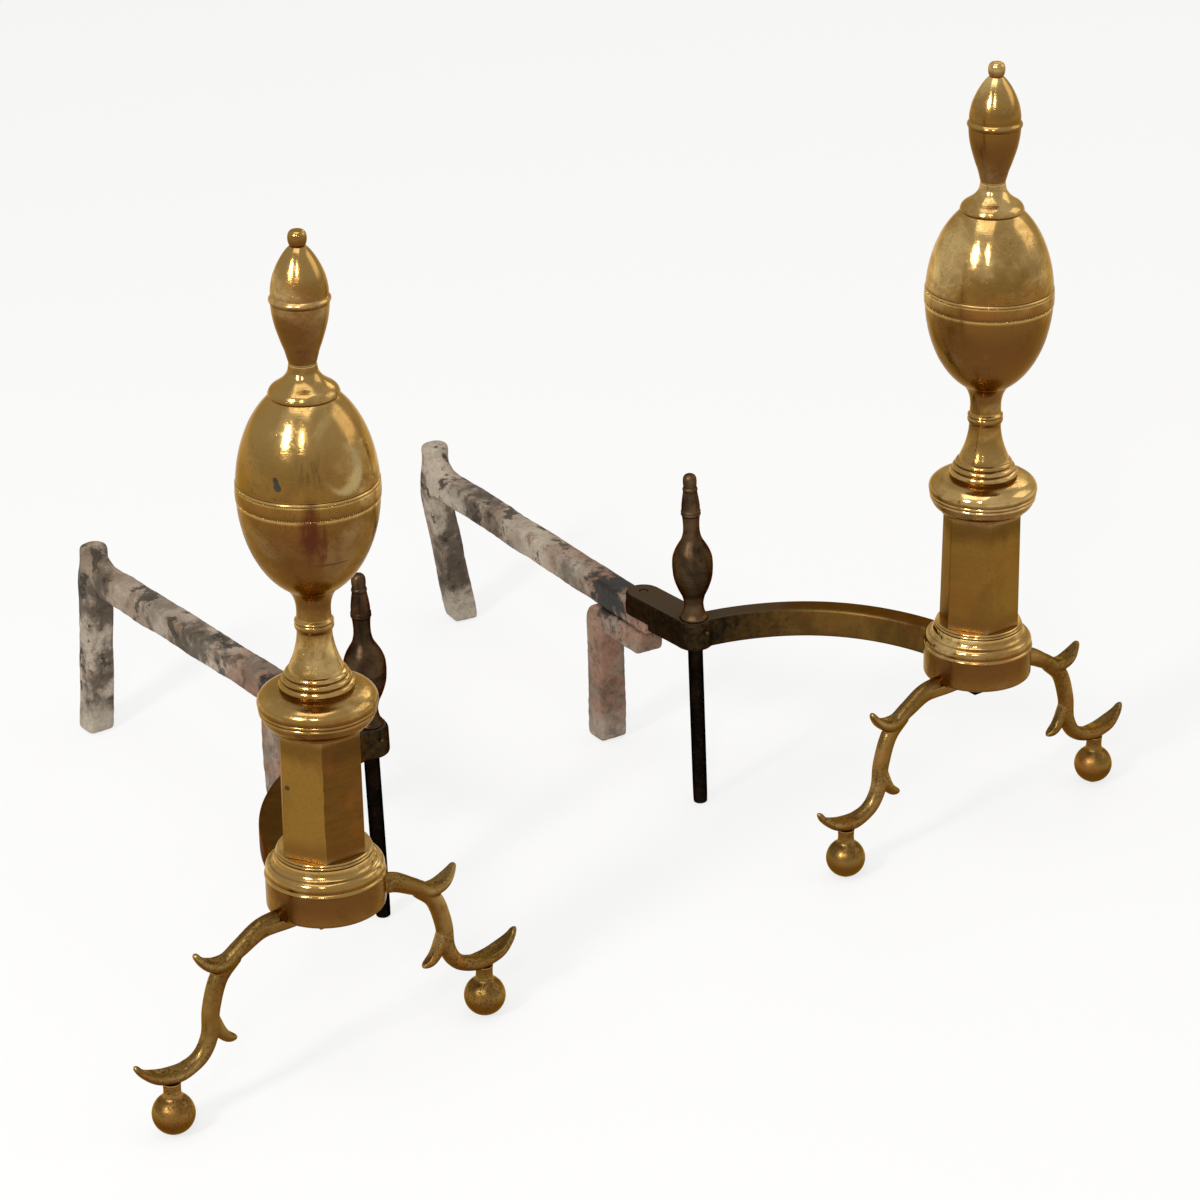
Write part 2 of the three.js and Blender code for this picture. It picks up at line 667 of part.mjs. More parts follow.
// The iron rod: it stands on the floor, passes the corner boss and holds the log stop.
function stopRod(lean) {
  const height = armTop + stopRodIntoStop;
  const profile = new THREE.Path();
  profile.moveTo(0, 0);
  profile.lineTo(stopRodRadius - 2, 0);
  profile.quadraticCurveTo(stopRodRadius - 0.3, 0.4, stopRodRadius - 0.3, 3);
  profile.lineTo(stopRodRadius, height / 2);
  profile.lineTo(stopRodRadius, height);
  profile.lineTo(0, height);
  const rod = toManifold(turned(profile, stopSides));
  const pinHole = toManifold(crossPin(stopPinRadius + fit, 10, stopRodRadius + 5));
  return leant(toGeometry(rod.subtract(pinHole)), lean);
}

function stopPin(lean) {
  const reach = stopPinLength + stopRodRadius - 3;
  return leant(crossPin(stopPinRadius, stopPinLength, reach), lean);
}

// ---- The iron -------------------------------------------------------------------------------------

const barBottom = barTop - barSize;
const barRearBottom = barBottom - barDrop;
const rearLegFront = rearLegBack - rearLegDepth / 2;

// Height of the bar's underside at a distance behind the rivet.
function underBar(back) {
  return barBottom - (barDrop * (back + tongueFront)) / (rearLegFront + tongueFront);
}

// An outline in the upright plane of the bar, extruded sideways to the given width.
function forged(outline, width, bevel) {
  const geometry = new THREE.ExtrudeGeometry(outline, {
    depth: width - 2 * bevel, bevelThickness: bevel, bevelSize: bevel, bevelOffset: -bevel,
    bevelSegments: 1, curveSegments: 5,
  });
  geometry.rotateX(Math.PI / 2);
  geometry.rotateZ(Math.PI / 2);
  geometry.translate(bevel - width / 2, 0, 0);
  return geometry;
}

// The billet bar: its front end is lapped under the lug, its rear end is a tenon in the rear leg.
function billetBar() {
  const end = rearLegFront - seat;
  const bevel = 1.4;
  const outline = new THREE.Shape();
  outline.moveTo(-tongueFront, barBottom);
  outline.lineTo(end, barRearBottom);
  outline.lineTo(end, barRearBottom + barSize);
  outline.lineTo(-tongueFront, barTop);
  const bar = toManifold(forged(outline, barSize, bevel));
  const lapLength = tongueFront + lugEndBack - rivetBack + 1;
  const lap = block(40, lapLength + 10, 30, 0, lapLength / 2 - tongueFront - 5, lapUnderside - seat + 15);
  const tenonMiddle = barRearBottom + barSize / 2;
  const tenonLength = rearLegDepth + 4;
  const tenon = block(tenonSize, tenonLength, tenonSize, 0, end + tenonLength / 2 - 4, tenonMiddle);
  const rivetHole = hole(rivetRadius, 60, 0, 0, barBottom - 20);
  const body = bar.subtract(toManifold(lap)).add(toManifold(tenon)).subtract(toManifold(rivetHole));
  return toGeometry(body);
}

// Moves the foot of a leg outwards by splay and back by rake, more the lower the point lies.
function splayed(geometry, top, splay, rake = 0) {
  const position = geometry.attributes.position;
  for (let i = 0; i < position.count; i += 1) {
    const share = THREE.MathUtils.clamp(1 - position.getZ(i) / top, 0, 1);
    position.setX(i, position.getX(i) + splay * share);
    position.setY(i, position.getY(i) + rake * share);
  }
  return geometry;
}

// The front leg: one bar bent over at the top, so that its head runs forward under the lug.
function frontLeg(splay, rake) {
  const back = frontLegBack + frontLegSize / 2;
  const front = frontLegBack - frontLegSize / 2;
  const top = underBar(-frontHeadReach) - seat;
  const elbowTop = underBar(back) - seat;
  const bottomOfHead = top - frontHeadThickness;
  const outline = new THREE.Shape();
  outline.moveTo(front + 2, 0);
  outline.lineTo(back - 2, 0);
  outline.lineTo(back, 3);
  outline.lineTo(back, elbowTop - frontElbowRadius);
  outline.quadraticCurveTo(back, elbowTop, back - frontElbowRadius, elbowTop);
  outline.lineTo(-frontHeadReach + 2, top);
  outline.lineTo(-frontHeadReach, top - 2);
  outline.lineTo(-frontHeadReach, bottomOfHead + 7);
  outline.lineTo(-frontHeadReach + 7, bottomOfHead);
  outline.lineTo(front - 6, bottomOfHead - 1);
  outline.quadraticCurveTo(front, bottomOfHead - 1, front, bottomOfHead - 8);
  outline.lineTo(front, 3);
  const bent = toManifold(splayed(forged(outline, frontLegSize, 2.2), bottomOfHead - 10, splay, rake));
  const rivetHole = toManifold(hole(rivetRadius, 60, 0, 0, bottomOfHead - 20));
  return toGeometry(bent.subtract(rivetHole));
}

// The rear leg: an upright bar with a rounded head above the billet and a mortise for its tenon.
function rearLeg(splay, top) {
  const front = rearLegFront;
  const back = front + rearLegDepth;
  const outline = new THREE.Shape();
  outline.moveTo(front + 2, 0);
  outline.lineTo(back - 2, 0);
  outline.lineTo(back, 3);
  outline.lineTo(back, top - 3);
  outline.lineTo(back - 3, top);
  outline.lineTo(front + 3, top);
  outline.lineTo(front, top - 3);
  outline.lineTo(front, 3);
  const middle = barRearBottom + barSize / 2;
  const upright = toManifold(splayed(forged(outline, rearLegWidth, 2.2), barRearBottom - 4, splay));
  const mortise = block(tenonSize + 2 * fit, 60, tenonSize + 2 * fit, 0, rearLegBack, middle);
  return toGeometry(upright.subtract(toManifold(mortise)));
}

// ---- Assembly ---------------------------------------------------------------------------------------

// One andiron about its own column axis; +X is outwards, away from the fire opening's middle.
function andiron(side, handwork) {
  const group = new THREE.Group();
  const add = (mesh) => {
    group.add(mesh);
    return mesh;
  };

  let z = drumUnderside;
  const column = [
    ['plinth_drum', drum(), drumHeight],
    ['shaft_collar', collar(), collarHeight],
    ['hex_shaft', shaft(), shaftHeight],
    ['capital', capital(), capitalHeight],
    ['turned_neck', neck(), neckHeight],
    ['urn_lower', urnLower(), urnLowerHeight],
    ['urn_upper', urnUpper(), urnUpperHeight],
    ['urn_cap', cap(), capHeight],
    ['lemon_finial', finial(), finialHeight],
  ];
  for (const [name, geometry, height] of column) {
    add(part(`${side}_${name}`, geometry, agedBrass, z));
    z += height + seat;
  }
  const finialFoot = z - finialHeight - seat;

  const plateZ = drumUnderside - 2 * seat - tongueThickness - clampPlateThickness;
  const nutZ = plateZ - seat - tieNutHeight;
  const rodFoot = nutZ - tieRodBelowNut;
  const rodLength = finialFoot + tieRodIntoFinial - rodFoot;
  add(part(`${side}_clamp_plate`, squareWashered(clampPlateSide, clampPlateThickness), blackIron, plateZ));
  add(part(`${side}_tie_nut`, squareWashered(tieNutSide, tieNutHeight), blackIron, nutZ));
  add(part(`${side}_tie_rod`, post(tieRodRadius, rodLength, 0, 0, 0), blackIron, rodFoot));

  for (const [which, turn] of [['outer', 0], ['inner', Math.PI]]) {
    const brassLeg = add(part(`${side}_${which}_leg`, leg(), agedBrass));
    brassLeg.rotation.z = turn;
    const foot = add(part(`${side}_${which}_ball_foot`, ballFoot(), agedBrass));
    foot.position.x = footReach * Math.cos(turn);
  }

  const lean = handwork.stopLean;
  add(part(`${side}_curved_arm`, arm(lean, handwork.armRoot), armBrass));
  add(part(`${side}_log_stop`, logStop(lean), smokedBrass));
  add(part(`${side}_stop_rod`, stopRod(lean), blackIron));
  add(part(`${side}_stop_pin`, stopPin(lean), blackIron));

  const ironWork = new THREE.Group();
  ironWork.position.set(stopX, rivetBack, 0);
  ironWork.rotation.z = -THREE.MathUtils.degToRad(handwork.barTurn);
  const rivetFoot = barBottom - frontLegSize - seat;
  const rivet = post(rivetRadius, armTop - rivetFoot, 0, 0, rivetFoot);
  ironWork.add(part(`${side}_billet_bar`, billetBar(), forgedIron));
  ironWork.add(part(`${side}_front_leg`, frontLeg(handwork.frontSplay, handwork.frontRake), forgedIron));
  ironWork.add(part(`${side}_rear_leg`, rearLeg(handwork.rearSplay, handwork.rearTop), forgedIron));
  ironWork.add(part(`${side}_bar_rivet`, rivet, forgedIron));
  group.add(ironWork);
  return group;
}

const right = andiron('right', rightHandwork);
right.position.x = pairSpacing / 2;
const left = andiron('left', leftHandwork);
left.scale.x = -1;
left.position.x = -pairSpacing / 2;

const pair = new THREE.Group();
pair.add(right, left);

// Bring the middle of the pair's depth to the origin.
pair.updateMatrixWorld(true);
const extent = new THREE.Box3().setFromObject(pair, true);
pair.position.y = -(extent.min.y + extent.max.y) / 2;

export default pair;
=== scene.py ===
# %% [markdown]
# # A pair of brass andirons
# Two mirrored andirons stand on a pale floor. Each has a column of turned brass pieces threaded
# on an iron rod, two spurred legs with ball feet, a curved brass arm that ends under a small log
# stop, and a forged iron bar for the logs. This lesson dresses the plain solids of the pair with
# finely turned, cast and forged meshes, and gives every surface its worn metal.

# %% Load the pair and note its size
import math

import bmesh
import bpy
import numpy as np
from mathutils import Matrix, Vector, noise


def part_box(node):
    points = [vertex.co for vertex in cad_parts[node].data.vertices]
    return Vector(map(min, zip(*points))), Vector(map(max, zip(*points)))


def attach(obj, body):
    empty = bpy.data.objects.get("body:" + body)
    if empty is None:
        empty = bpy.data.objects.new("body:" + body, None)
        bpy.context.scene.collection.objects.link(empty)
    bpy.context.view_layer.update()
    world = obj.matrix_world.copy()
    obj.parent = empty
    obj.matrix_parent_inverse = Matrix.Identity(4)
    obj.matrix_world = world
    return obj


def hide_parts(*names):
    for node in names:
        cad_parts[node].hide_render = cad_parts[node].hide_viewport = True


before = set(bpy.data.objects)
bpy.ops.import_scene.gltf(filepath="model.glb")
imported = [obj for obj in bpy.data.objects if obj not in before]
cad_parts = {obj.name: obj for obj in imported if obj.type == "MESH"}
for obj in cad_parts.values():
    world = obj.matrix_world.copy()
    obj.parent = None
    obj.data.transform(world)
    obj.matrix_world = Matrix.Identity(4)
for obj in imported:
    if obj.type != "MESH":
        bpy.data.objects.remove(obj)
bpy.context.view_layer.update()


def in_scene(name, data):
    """A new object in the scene, made round its mesh, lamp or camera data."""
    made = bpy.data.objects.new(name, data)
    bpy.context.scene.collection.objects.link(made)
    return made


# %% [markdown]
# ## The camera
# The viewpoint was worked out from the rings, feet and irons. The camera stands to the left and
# in front, a little over two metres away, with a long lens, and is tipped sideways by less than
# a degree. It is placed by its azimuth, elevation and roll, so each number can be read alone.

# %% Camera
camera_place = Vector((-1.3875, -2.0299, 1.2687))
camera_azimuth, camera_elevation, camera_roll = map(math.radians, (-36.712, 24.216, -0.638))
focal_in_frame_widths = 3840.2 / 1200
sensor_width = 36

camera = in_scene("camera", bpy.data.cameras.new("camera"))
bpy.context.scene.camera = camera
camera.data.sensor_width = sensor_width
camera.data.lens = sensor_width * focal_in_frame_widths
back = Vector((
    math.sin(camera_azimuth) * math.cos(camera_elevation),
    -math.cos(camera_azimuth) * math.cos(camera_elevation),
    math.sin(camera_elevation),
))
level_right = Vector((math.cos(camera_azimuth), math.sin(camera_azimuth), 0))
level_up = back.cross(level_right)
right = level_right * math.cos(camera_roll) + level_up * math.sin(camera_roll)
up = back.cross(right)
camera.matrix_world = Matrix.Translation(camera_place) @ Matrix((right, up, back)).transposed().to_4x4()
print("lens", round(camera.data.lens, 1), "mm")

# %% [markdown]
# ## Shader arithmetic
# A material is a graph of nodes, but masks read best as arithmetic. This small class wraps one
# output socket, so that `1 - mask * 0.5` adds the Math nodes it needs. Every other kind of node
# comes from its one method, `node`.

# %% A socket that does arithmetic
class Value:
    def __init__(self, tree, socket=None):
        self.tree = tree
        self.socket = socket

    def node(self, kind, settings=None, inputs=None, output=0):
        made = self.tree.nodes.new(kind)
        for key, setting in (settings or {}).items():
            if key == "stops":
                ramp = made.color_ramp
                while len(ramp.elements) < len(setting):
                    ramp.elements.new(0.5)
                for element, (position, colour) in zip(ramp.elements, setting):
                    element.position = position
                    element.color = colour if len(colour) == 4 else (*colour, 1)
            else:
                setattr(made, key, setting)
        for key, value in (inputs or {}).items():
            if isinstance(key, int):
                socket = made.inputs[key]
            else:
                socket = next(s for s in made.inputs if s.name == key and s.enabled)
            if isinstance(value, Value):
                self.tree.links.new(value.socket, socket)
            else:
                socket.default_value = value
        if isinstance(output, int):
            return Value(self.tree, made.outputs[output])
        return Value(self.tree, next(s for s in made.outputs if s.name == output and s.enabled))

    def math(self, operation, a, b=0.0, clamp=False):
        settings = {"operation": operation, "use_clamp": clamp}
        return self.node("ShaderNodeMath", settings, {0: a, 1: b})

    def __add__(self, other):
        return self.math("ADD", self, other)

    def __sub__(self, other):
        return self.math("SUBTRACT", self, other)

    def __mul__(self, other):
        return self.math("MULTIPLY", self, other)

    def __pow__(self, other):
        return self.math("POWER", self, other)

    def __radd__(self, other):
        return self.math("ADD", other, self)

    def __rsub__(self, other):
        return self.math("SUBTRACT", other, self)

    def __rmul__(self, other):
        return self.math("MULTIPLY", other, self)

    def clamped(self):
        return self.math("ADD", self, 0.0, clamp=True)

    def step(self, low, high):
        """0 below low, 1 above high, smooth between; low may be the larger."""
        inputs = {"Value": self, "From Min": low, "From Max": high, "To Min": 0.0, "To Max": 1.0}
        return self.node("ShaderNodeMapRange", {"interpolation_type": "SMOOTHSTEP"}, inputs)

    def mix(self, first, second):
        """Colour first where self is 0, second where it is 1."""
        colours = {"Factor": self}
        for key, colour in (("A", first), ("B", second)):
            colours[key] = colour if isinstance(colour, Value) else (*colour, 1)
        return self.node("ShaderNodeMix", {"data_type": "RGBA"}, colours, "Result")

    def cloud(self, scale, detail=3.0, rough=0.55, seed=0.0, stretch=(1, 1, 1), twist=0.0):
        """Soft noise from 0 to 1 on the object's own metres."""
        settings = {"vector_type": "POINT"}
        place = self.node("ShaderNodeMapping", settings, {
            "Vector": self, "Location": (seed, seed * 0.7, seed * 0.3), "Scale": stretch,
        })
        return self.node("ShaderNodeTexNoise", {}, {
            "Vector": place, "Scale": scale, "Detail": detail, "Roughness": rough, "Distortion": twist,
        })

    def away_from(self, point, reach=(1, 1, 1)):
        """Distance from a point in metres, stretched along each axis by reach."""
        place = self.node("ShaderNodeMapping", {"vector_type": "TEXTURE"}, {
            "Vector": self, "Location": point, "Scale": reach,
        })
        return self.node("ShaderNodeVectorMath", {"operation": "LENGTH"}, {0: place}, "Value")

    def spots(self, scale, seed=0.0):
        """Distance to the nearest of many scattered points, in cells."""
        place = self.node("ShaderNodeMapping", {}, {"Vector": self, "Location": (seed, seed, seed)})
        return self.node("ShaderNodeTexVoronoi", {}, {"Vector": place, "Scale": scale})

    def along(self, axis):
        """One coordinate in metres, by its letter."""
        return self.node("ShaderNodeSeparateXYZ", {}, {"Vector": self}, axis)

    def attribute(self, label):
        """A number that was measured on the mesh."""
        return self.node("ShaderNodeAttribute", {"attribute_name": label}, output="Fac")


def layered(metal, *coats):
    """Lays coats over a metal one by one, each a pair of mask and colour."""
    for mask, colour in coats:
        metal = mask.mix(metal, colour)
    return metal


def scaled(colour, factor):
    return tuple(factor * v for v in colour)


print("arithmetic ready")

# %% [markdown]
# ## A material frame
# All the metals here share one skeleton: the object's own coordinates, two attributes that are
# measured on every mesh, and a Principled shader with one Bump node. The attribute hollow says how
# sunken the surface is at each point: dirt gathers in hollows and wear polishes sharp edges, on
# cast, turned and forged metal alike. The attribute under says how far the surface faces down: the
# brasses paint shade on undersides with it and lay dirt on flat tops, and the old brass paints a
# reflection on the faces turned up.

# %% The shared skeleton of the metals
def start_metal(name):
    material = bpy.data.materials.new(name)
    material.use_nodes = True
    tree = material.node_tree
    shader = tree.nodes["Principled BSDF"]
    graph = Value(tree)
    place = graph.node("ShaderNodeTexCoord", output="Object")
    return material, shader, place, graph.attribute("hollow"), graph.attribute("under")


def finish_metal(material, shader, colour, roughness, height, metallic=1.0, depth=0.0004):
    tree = material.node_tree
    tree.links.new(colour.socket, shader.inputs["Base Color"])
    tree.links.new(roughness.clamped().socket, shader.inputs["Roughness"])
    if isinstance(metallic, Value):
        tree.links.new(metallic.clamped().socket, shader.inputs["Metallic"])
    else:
        shader.inputs["Metallic"].default_value = metallic
    inputs = {"Height": height, "Distance": depth, "Strength": 1.0}
    bump = height.node("ShaderNodeBump", {}, inputs, "Normal")
    tree.links.new(bump.socket, shader.inputs["Normal"])
    return material


# %% [markdown]
# ## Old polished brass
# The columns are yellow brass, polished for many years. The polish leaves bright yellow metal
# on the high places. Brown tarnish stays in the grooves, and soft clouds of it, some of them orange,
# lie on the surface. Shade is painted on the undersides, as from a dark room they mirror, and a
# painted reflection lightens the faces turned up. The lathe left fine rings, which show as thin
# streaks in the gloss, and small black pits are scattered over the casting. The legs are cast, so
# they get no lathe rings, and fewer rubs with the cloth.

# %% Brass of the turned pieces and the legs
brass_glance = (0.86, 0.64, 0.38, 1)


def old_brass(name, seed, turned=True, body=(0.300, 0.156, 0.026), high=(0.86, 0.61, 0.25),
              gloss=0.11, grain=0.35):
    material, shader, place, hollow, under = start_metal(name)
    shader.inputs["Specular Tint"].default_value = brass_glance
    shader.inputs["Coat Weight"].default_value = 0.12 if turned else 0.0
    shader.inputs["Coat Roughness"].default_value = 0.06
    cloud = place.cloud(14, 5, 0.62, seed, twist=0.6)
    polish = cloud.step(0.46, 0.64)
    orange = place.cloud(22, 5, 0.6, seed + 11, twist=0.4).step(0.52, 0.66)
    smudge = place.cloud(48, 6, 0.7, seed + 3, twist=0.4).step(0.47, 0.72)
    speckle = place.cloud(620, 3, 0.6, seed + 6).step(0.48, 0.70)
    low_down = place.along("Z").step(0.200, 0.180)
    grime = speckle * place.cloud(30, 4, 0.6, seed + 8).step(0.40, 0.60)
    dirt = hollow.step(0.03, 0.22)
    worn = hollow.step(-0.05, -0.24)
    # painted shade: faces turned down are darkened, as if mirroring a dark room below
    underside_shade = under.step(-0.34, 0.26)
    # painted reflection: faces turned up are lightened towards the polished colour
    upturned_reflection = under.step(-0.05, -0.50)
    if turned:
        ledge = under.step(-0.86, -0.97) * (0.30 + low_down * 0.70)
        ledge_dirt = (0.112, 0.058, 0.019)
    else:
        ledge = under.step(-0.25, -0.80) * (0.55 + speckle * 0.45)
        ledge_dirt = (0.082, 0.040, 0.013)
    pit = place.spots(420, seed).step(0.16, 0.05) * place.cloud(90, 2, 0.5, seed + 9).step(0.54, 0.66)
    streak = place.cloud(30, 3, 0.6, seed + 5, stretch=(1, 1, 90 if turned else 4))
    tone = (cloud * 0.5 + streak * 0.45).clamped()
    metal = layered(
        tone.mix(scaled(body, 0.80), scaled(body, 1.20)),
        (polish * (0.85 if turned else 0.50), high),
        (orange * 0.50, (0.40, 0.145, 0.026)),
        (smudge * 0.58, (0.145, 0.070, 0.015)),
        (upturned_reflection * (0.27 if turned else 0.10), high),
        (underside_shade * 0.86, (0.110, 0.038, 0.0055)),
        (grime * grain, (0.07, 0.035, 0.012)),
        (dirt * (0.60 if turned else 0.30), (0.085, 0.040, 0.012)),
        (ledge * (0.82 if turned else 0.80), ledge_dirt),
        (worn * 0.60, (0.72, 0.48, 0.16)),
        (pit * 0.85, (0.04, 0.025, 0.015)),
    )
    rough = gloss - polish * 0.03 - upturned_reflection * 0.02 + smudge * 0.15 + orange * 0.07 + underside_shade * 0.11
    rough = rough + dirt * 0.2 + grime * 0.16 + streak * 0.05 + ledge * (0.32 if turned else 0.14)
    ripple = place.cloud(70, 2, 0.5, seed + 7) * 0.45 + streak * (0.12 if turned else 0.05)
    height = ripple - pit * 0.5 + smudge * 0.04 - speckle * (0.03 if turned else 0.10)
    return finish_metal(material, shader, metal, rough, height, depth=0.00035)


brass_turned = old_brass("brass_turned", 1.7)
brass_cast = old_brass("brass_cast", 6.1, turned=False, body=(0.250, 0.142, 0.034),
                       high=(0.54, 0.37, 0.135), gloss=0.25, grain=0.9)
print("brass:", brass_turned.name, brass_cast.name)


# %% [markdown]
# ## The stained urn
# One urn has marks of its own: above the band a blue-grey dent, faint brown drips and a pale
# crescent, and below it red-brown runs with a dark scratch beside them. They are added on a copy
# of the brass, each as the distance from a point, so they stay where they are on the surface.

# %% Brass of the stained urn
def stained_brass(name):
    material = brass_turned.copy()
    material.name = name
    tree = material.node_tree
    shader = tree.nodes["Principled BSDF"]
    graph = Value(tree)
    place = graph.node("ShaderNodeTexCoord", output="Object")
    ragged = place.cloud(150, 4, 0.65, 2.0)
    strands = place.cloud(90, 4, 0.65, 5.0, stretch=(6, 6, 0.22))
    metal = Value(tree, shader.inputs["Base Color"].links[0].from_socket)

    def spot(point, reach, raggedness):
        """Distance from a point, with a ragged rim."""
        return place.away_from(point, reach) + ragged * raggedness

    runs = spot((-0.2930, -0.280, 0.388), (0.0075, 0.012, 0.030), 0.7).step(1.35, 0.70)
    runs_beside = spot((-0.2865, -0.283, 0.379), (0.0045, 0.012, 0.022), 0.8).step(1.35, 0.75)
    dent = spot((-0.3059, -0.267, 0.4160), (0.0016, 0.006, 0.0028), 0.5).step(1.3, 1.0)
    neck_of_dent = spot((-0.3060, -0.266, 0.4196), (0.0010, 0.006, 0.0024), 0.4).step(1.3, 1.0)
    drips = spot((-0.2897, -0.2800, 0.4234), (0.0150, 0.020, 0.020), 0.9).step(1.35, 0.65)
    crescent = spot((-0.2703, -0.2847, 0.4240), (0.0135, 0.0135, 0.0150), 0.35)
    inside = spot((-0.2748, -0.2857, 0.4275), (0.0115, 0.0135, 0.0130), 0.35)
    scratch = spot((-0.2790, -0.281, 0.3650), (0.013, 0.012, 0.0009), 0.5).step(1.3, 0.9)
    metal = layered(
        metal,
        (runs * strands.step(0.28, 0.46) * 0.94, (0.088, 0.019, 0.005)),
        (runs_beside * strands.step(0.34, 0.54) * 0.88, (0.095, 0.024, 0.006)),
        (dent.math("MAXIMUM", dent, neck_of_dent) * 0.9, (0.045, 0.052, 0.045)),
        (drips * strands.step(0.42, 0.62) * 0.55, (0.150, 0.082, 0.024)),
        (inside.step(1.25, 0.75) * 0.45, (0.34, 0.165, 0.040)),
        (crescent.step(1.30, 1.02) * inside.step(1.05, 1.40) * 0.60, (0.56, 0.43, 0.20)),
        (scratch * 0.7, (0.06, 0.03, 0.015)),
    )
    tree.links.new(metal.socket, shader.inputs["Base Color"])
    return material


brass_stained = stained_brass("brass_stained")
print("stained:", brass_stained.name)


# %% [markdown]
# ## Filed brass of the shaft
# The six faces of the shaft were filed flat one by one. Each flat face mirrors its own part of the
# surround, so each gets its own painted light and shade: an attribute holds that painted shading
# for each face, and the material moves from yellow to red-brown with it.

# %% Brass of the shaft
def filed_brass(name, seed):
    material, shader, place, hollow, _ = start_metal(name)
    face_shade = place.attribute("face_tone")
    cloud = place.cloud(30, 4, 0.6, seed, twist=0.6)
    file_marks = place.cloud(40, 4, 0.65, seed + 1, stretch=(1, 1, 7))
    orange = place.cloud(34, 4, 0.6, seed + 4, twist=0.8).step(0.46, 0.68)
    fine = place.cloud(520, 3, 0.6, seed + 2).step(0.45, 0.75)
    level = place.along("Z")
    shader.inputs["Specular Tint"].default_value = brass_glance
    # painted shadow with dirt: a darker band at the head of the shaft, under the capital's overhang
    capital_shadow_band = (level + cloud * 0.016).step(0.232, 0.244)
    stain = (level + cloud * 0.022).step(0.190, 0.174)
    speck = place.away_from((-0.2973, -0.2491, 0.2101), (0.0012, 0.004, 0.0018)).step(1.15, 0.7)
    # painted light and shade: each filed face is made lighter or darker by its attribute
    metal = layered(
        face_shade.mix((0.285, 0.150, 0.028), (0.098, 0.036, 0.006)),
        (file_marks.step(0.35, 0.7) * 0.12, (0.33, 0.19, 0.045)),
        (orange * face_shade * 0.70, (0.240, 0.078, 0.016)),
        (cloud.step(0.46, 0.70) * 0.40, (0.120, 0.060, 0.014)),
        (fine * 0.16, (0.06, 0.03, 0.01)),
        (capital_shadow_band * 0.50, (0.085, 0.038, 0.010)),
        (stain * 0.50, (0.135, 0.048, 0.011)),
        (hollow.step(-0.04, -0.2) * 0.3, (0.50, 0.33, 0.12)),
        (speck * 0.9, (0.05, 0.04, 0.02)),
    )
    rough = 0.31 + cloud * 0.14 + file_marks * 0.05 + fine * 0.06 + capital_shadow_band * 0.1
    height = file_marks * 0.04 + cloud * 0.34 - speck * 0.4 - fine * 0.03
    return finish_metal(material, shader, metal, rough, height, depth=0.00035)


brass_filed = filed_brass("brass_filed", 9.3)
print("filed:", brass_filed.name)


# %% [markdown]
# ## Brown and black brass
# The arms are duller, because nobody polishes behind the columns, and the log stops stand in the
# smoke: their brass has gone black-brown. Soot lies thickest where the arm meets the iron, so its
# place along the andiron, from front to fire, carries the soot in. Undersides are darkened as
# painted shade, the log stop's most.

# %% Dull brass of the arm, smoked brass of the log stop
def dull_brass(name, seed, high, low, red, soot_start, soot_end, painted_shade_weight=0.35):
    material, shader, place, hollow, under = start_metal(name)
    cloud = place.cloud(22, 5, 0.62, seed, twist=0.8)
    grain = place.cloud(260, 4, 0.62, seed + 2)
    warm = place.cloud(38, 5, 0.62, seed + 5, twist=0.9).step(0.50, 0.70)
    dirt = hollow.step(0.02, 0.25)
    worn = hollow.step(-0.05, -0.26)
    # painted shade: faces turned down are darkened, most on the log stop
    underside_shade = under.step(-0.30, 0.60)
    ledge = under.step(-0.80, -0.98)
    shader.inputs["Specular Tint"].default_value = (0.45, 0.30, 0.18, 1)
    soot = (place.along("Y") + cloud * 0.05 + (grain - 0.5) * 0.02).step(soot_start, soot_end)
    metal = layered(
        cloud.step(0.34, 0.68).mix(low, high),
        (warm * 0.5, red),
        (grain.step(0.50, 0.78) * 0.45, scaled(low, 0.35)),
        (worn * 0.45, tuple(min(1, v) for v in scaled(high, 1.6))),
        ((dirt * 0.7).clamped(), scaled(low, 0.25)),
        (underside_shade * painted_shade_weight, scaled(low, 0.4)),
        (ledge * 0.60, (0.095, 0.060, 0.027)),
        (soot * (0.48 + grain * 0.55 + cloud * 0.30).clamped(),
         ledge.mix((0.014, 0.011, 0.008), (0.100, 0.080, 0.058))),
    )
    gloss = 0.33 + cloud * 0.14 + dirt * 0.2 + soot * 0.20 - worn * 0.08
    height = grain * 0.30 + cloud * 0.35
    return finish_metal(material, shader, metal, gloss, height, 1.0, 0.0004)


never = (5.0, 6.0)  # metres: a place no piece reaches
brass_arm = dull_brass("brass_arm", 3.3, (0.215, 0.118, 0.026), (0.100, 0.052, 0.013),
                       (0.17, 0.060, 0.016), -0.118, -0.070)
brass_smoked = dull_brass("brass_smoked", 8.4, (0.150, 0.090, 0.045), (0.026, 0.017, 0.010),
                          (0.140, 0.058, 0.026), *never, 0.85)
print("dull:", brass_arm.name, brass_smoked.name)


# %% [markdown]
# ## Iron
# The log bars and their feet are forged iron that has burned for years. Their scale is ash grey,
# almost white near the floor, with pink-brown rust round the front leg. Soft clouds of soot lie on
# it, and at the joint behind the log stop a black crust with a ragged edge runs down the elbow. The
# two andirons are mirror images there, so the crust is placed with the absolute value of x. The
# rod under the log stop never glowed, and is simply black-brown.

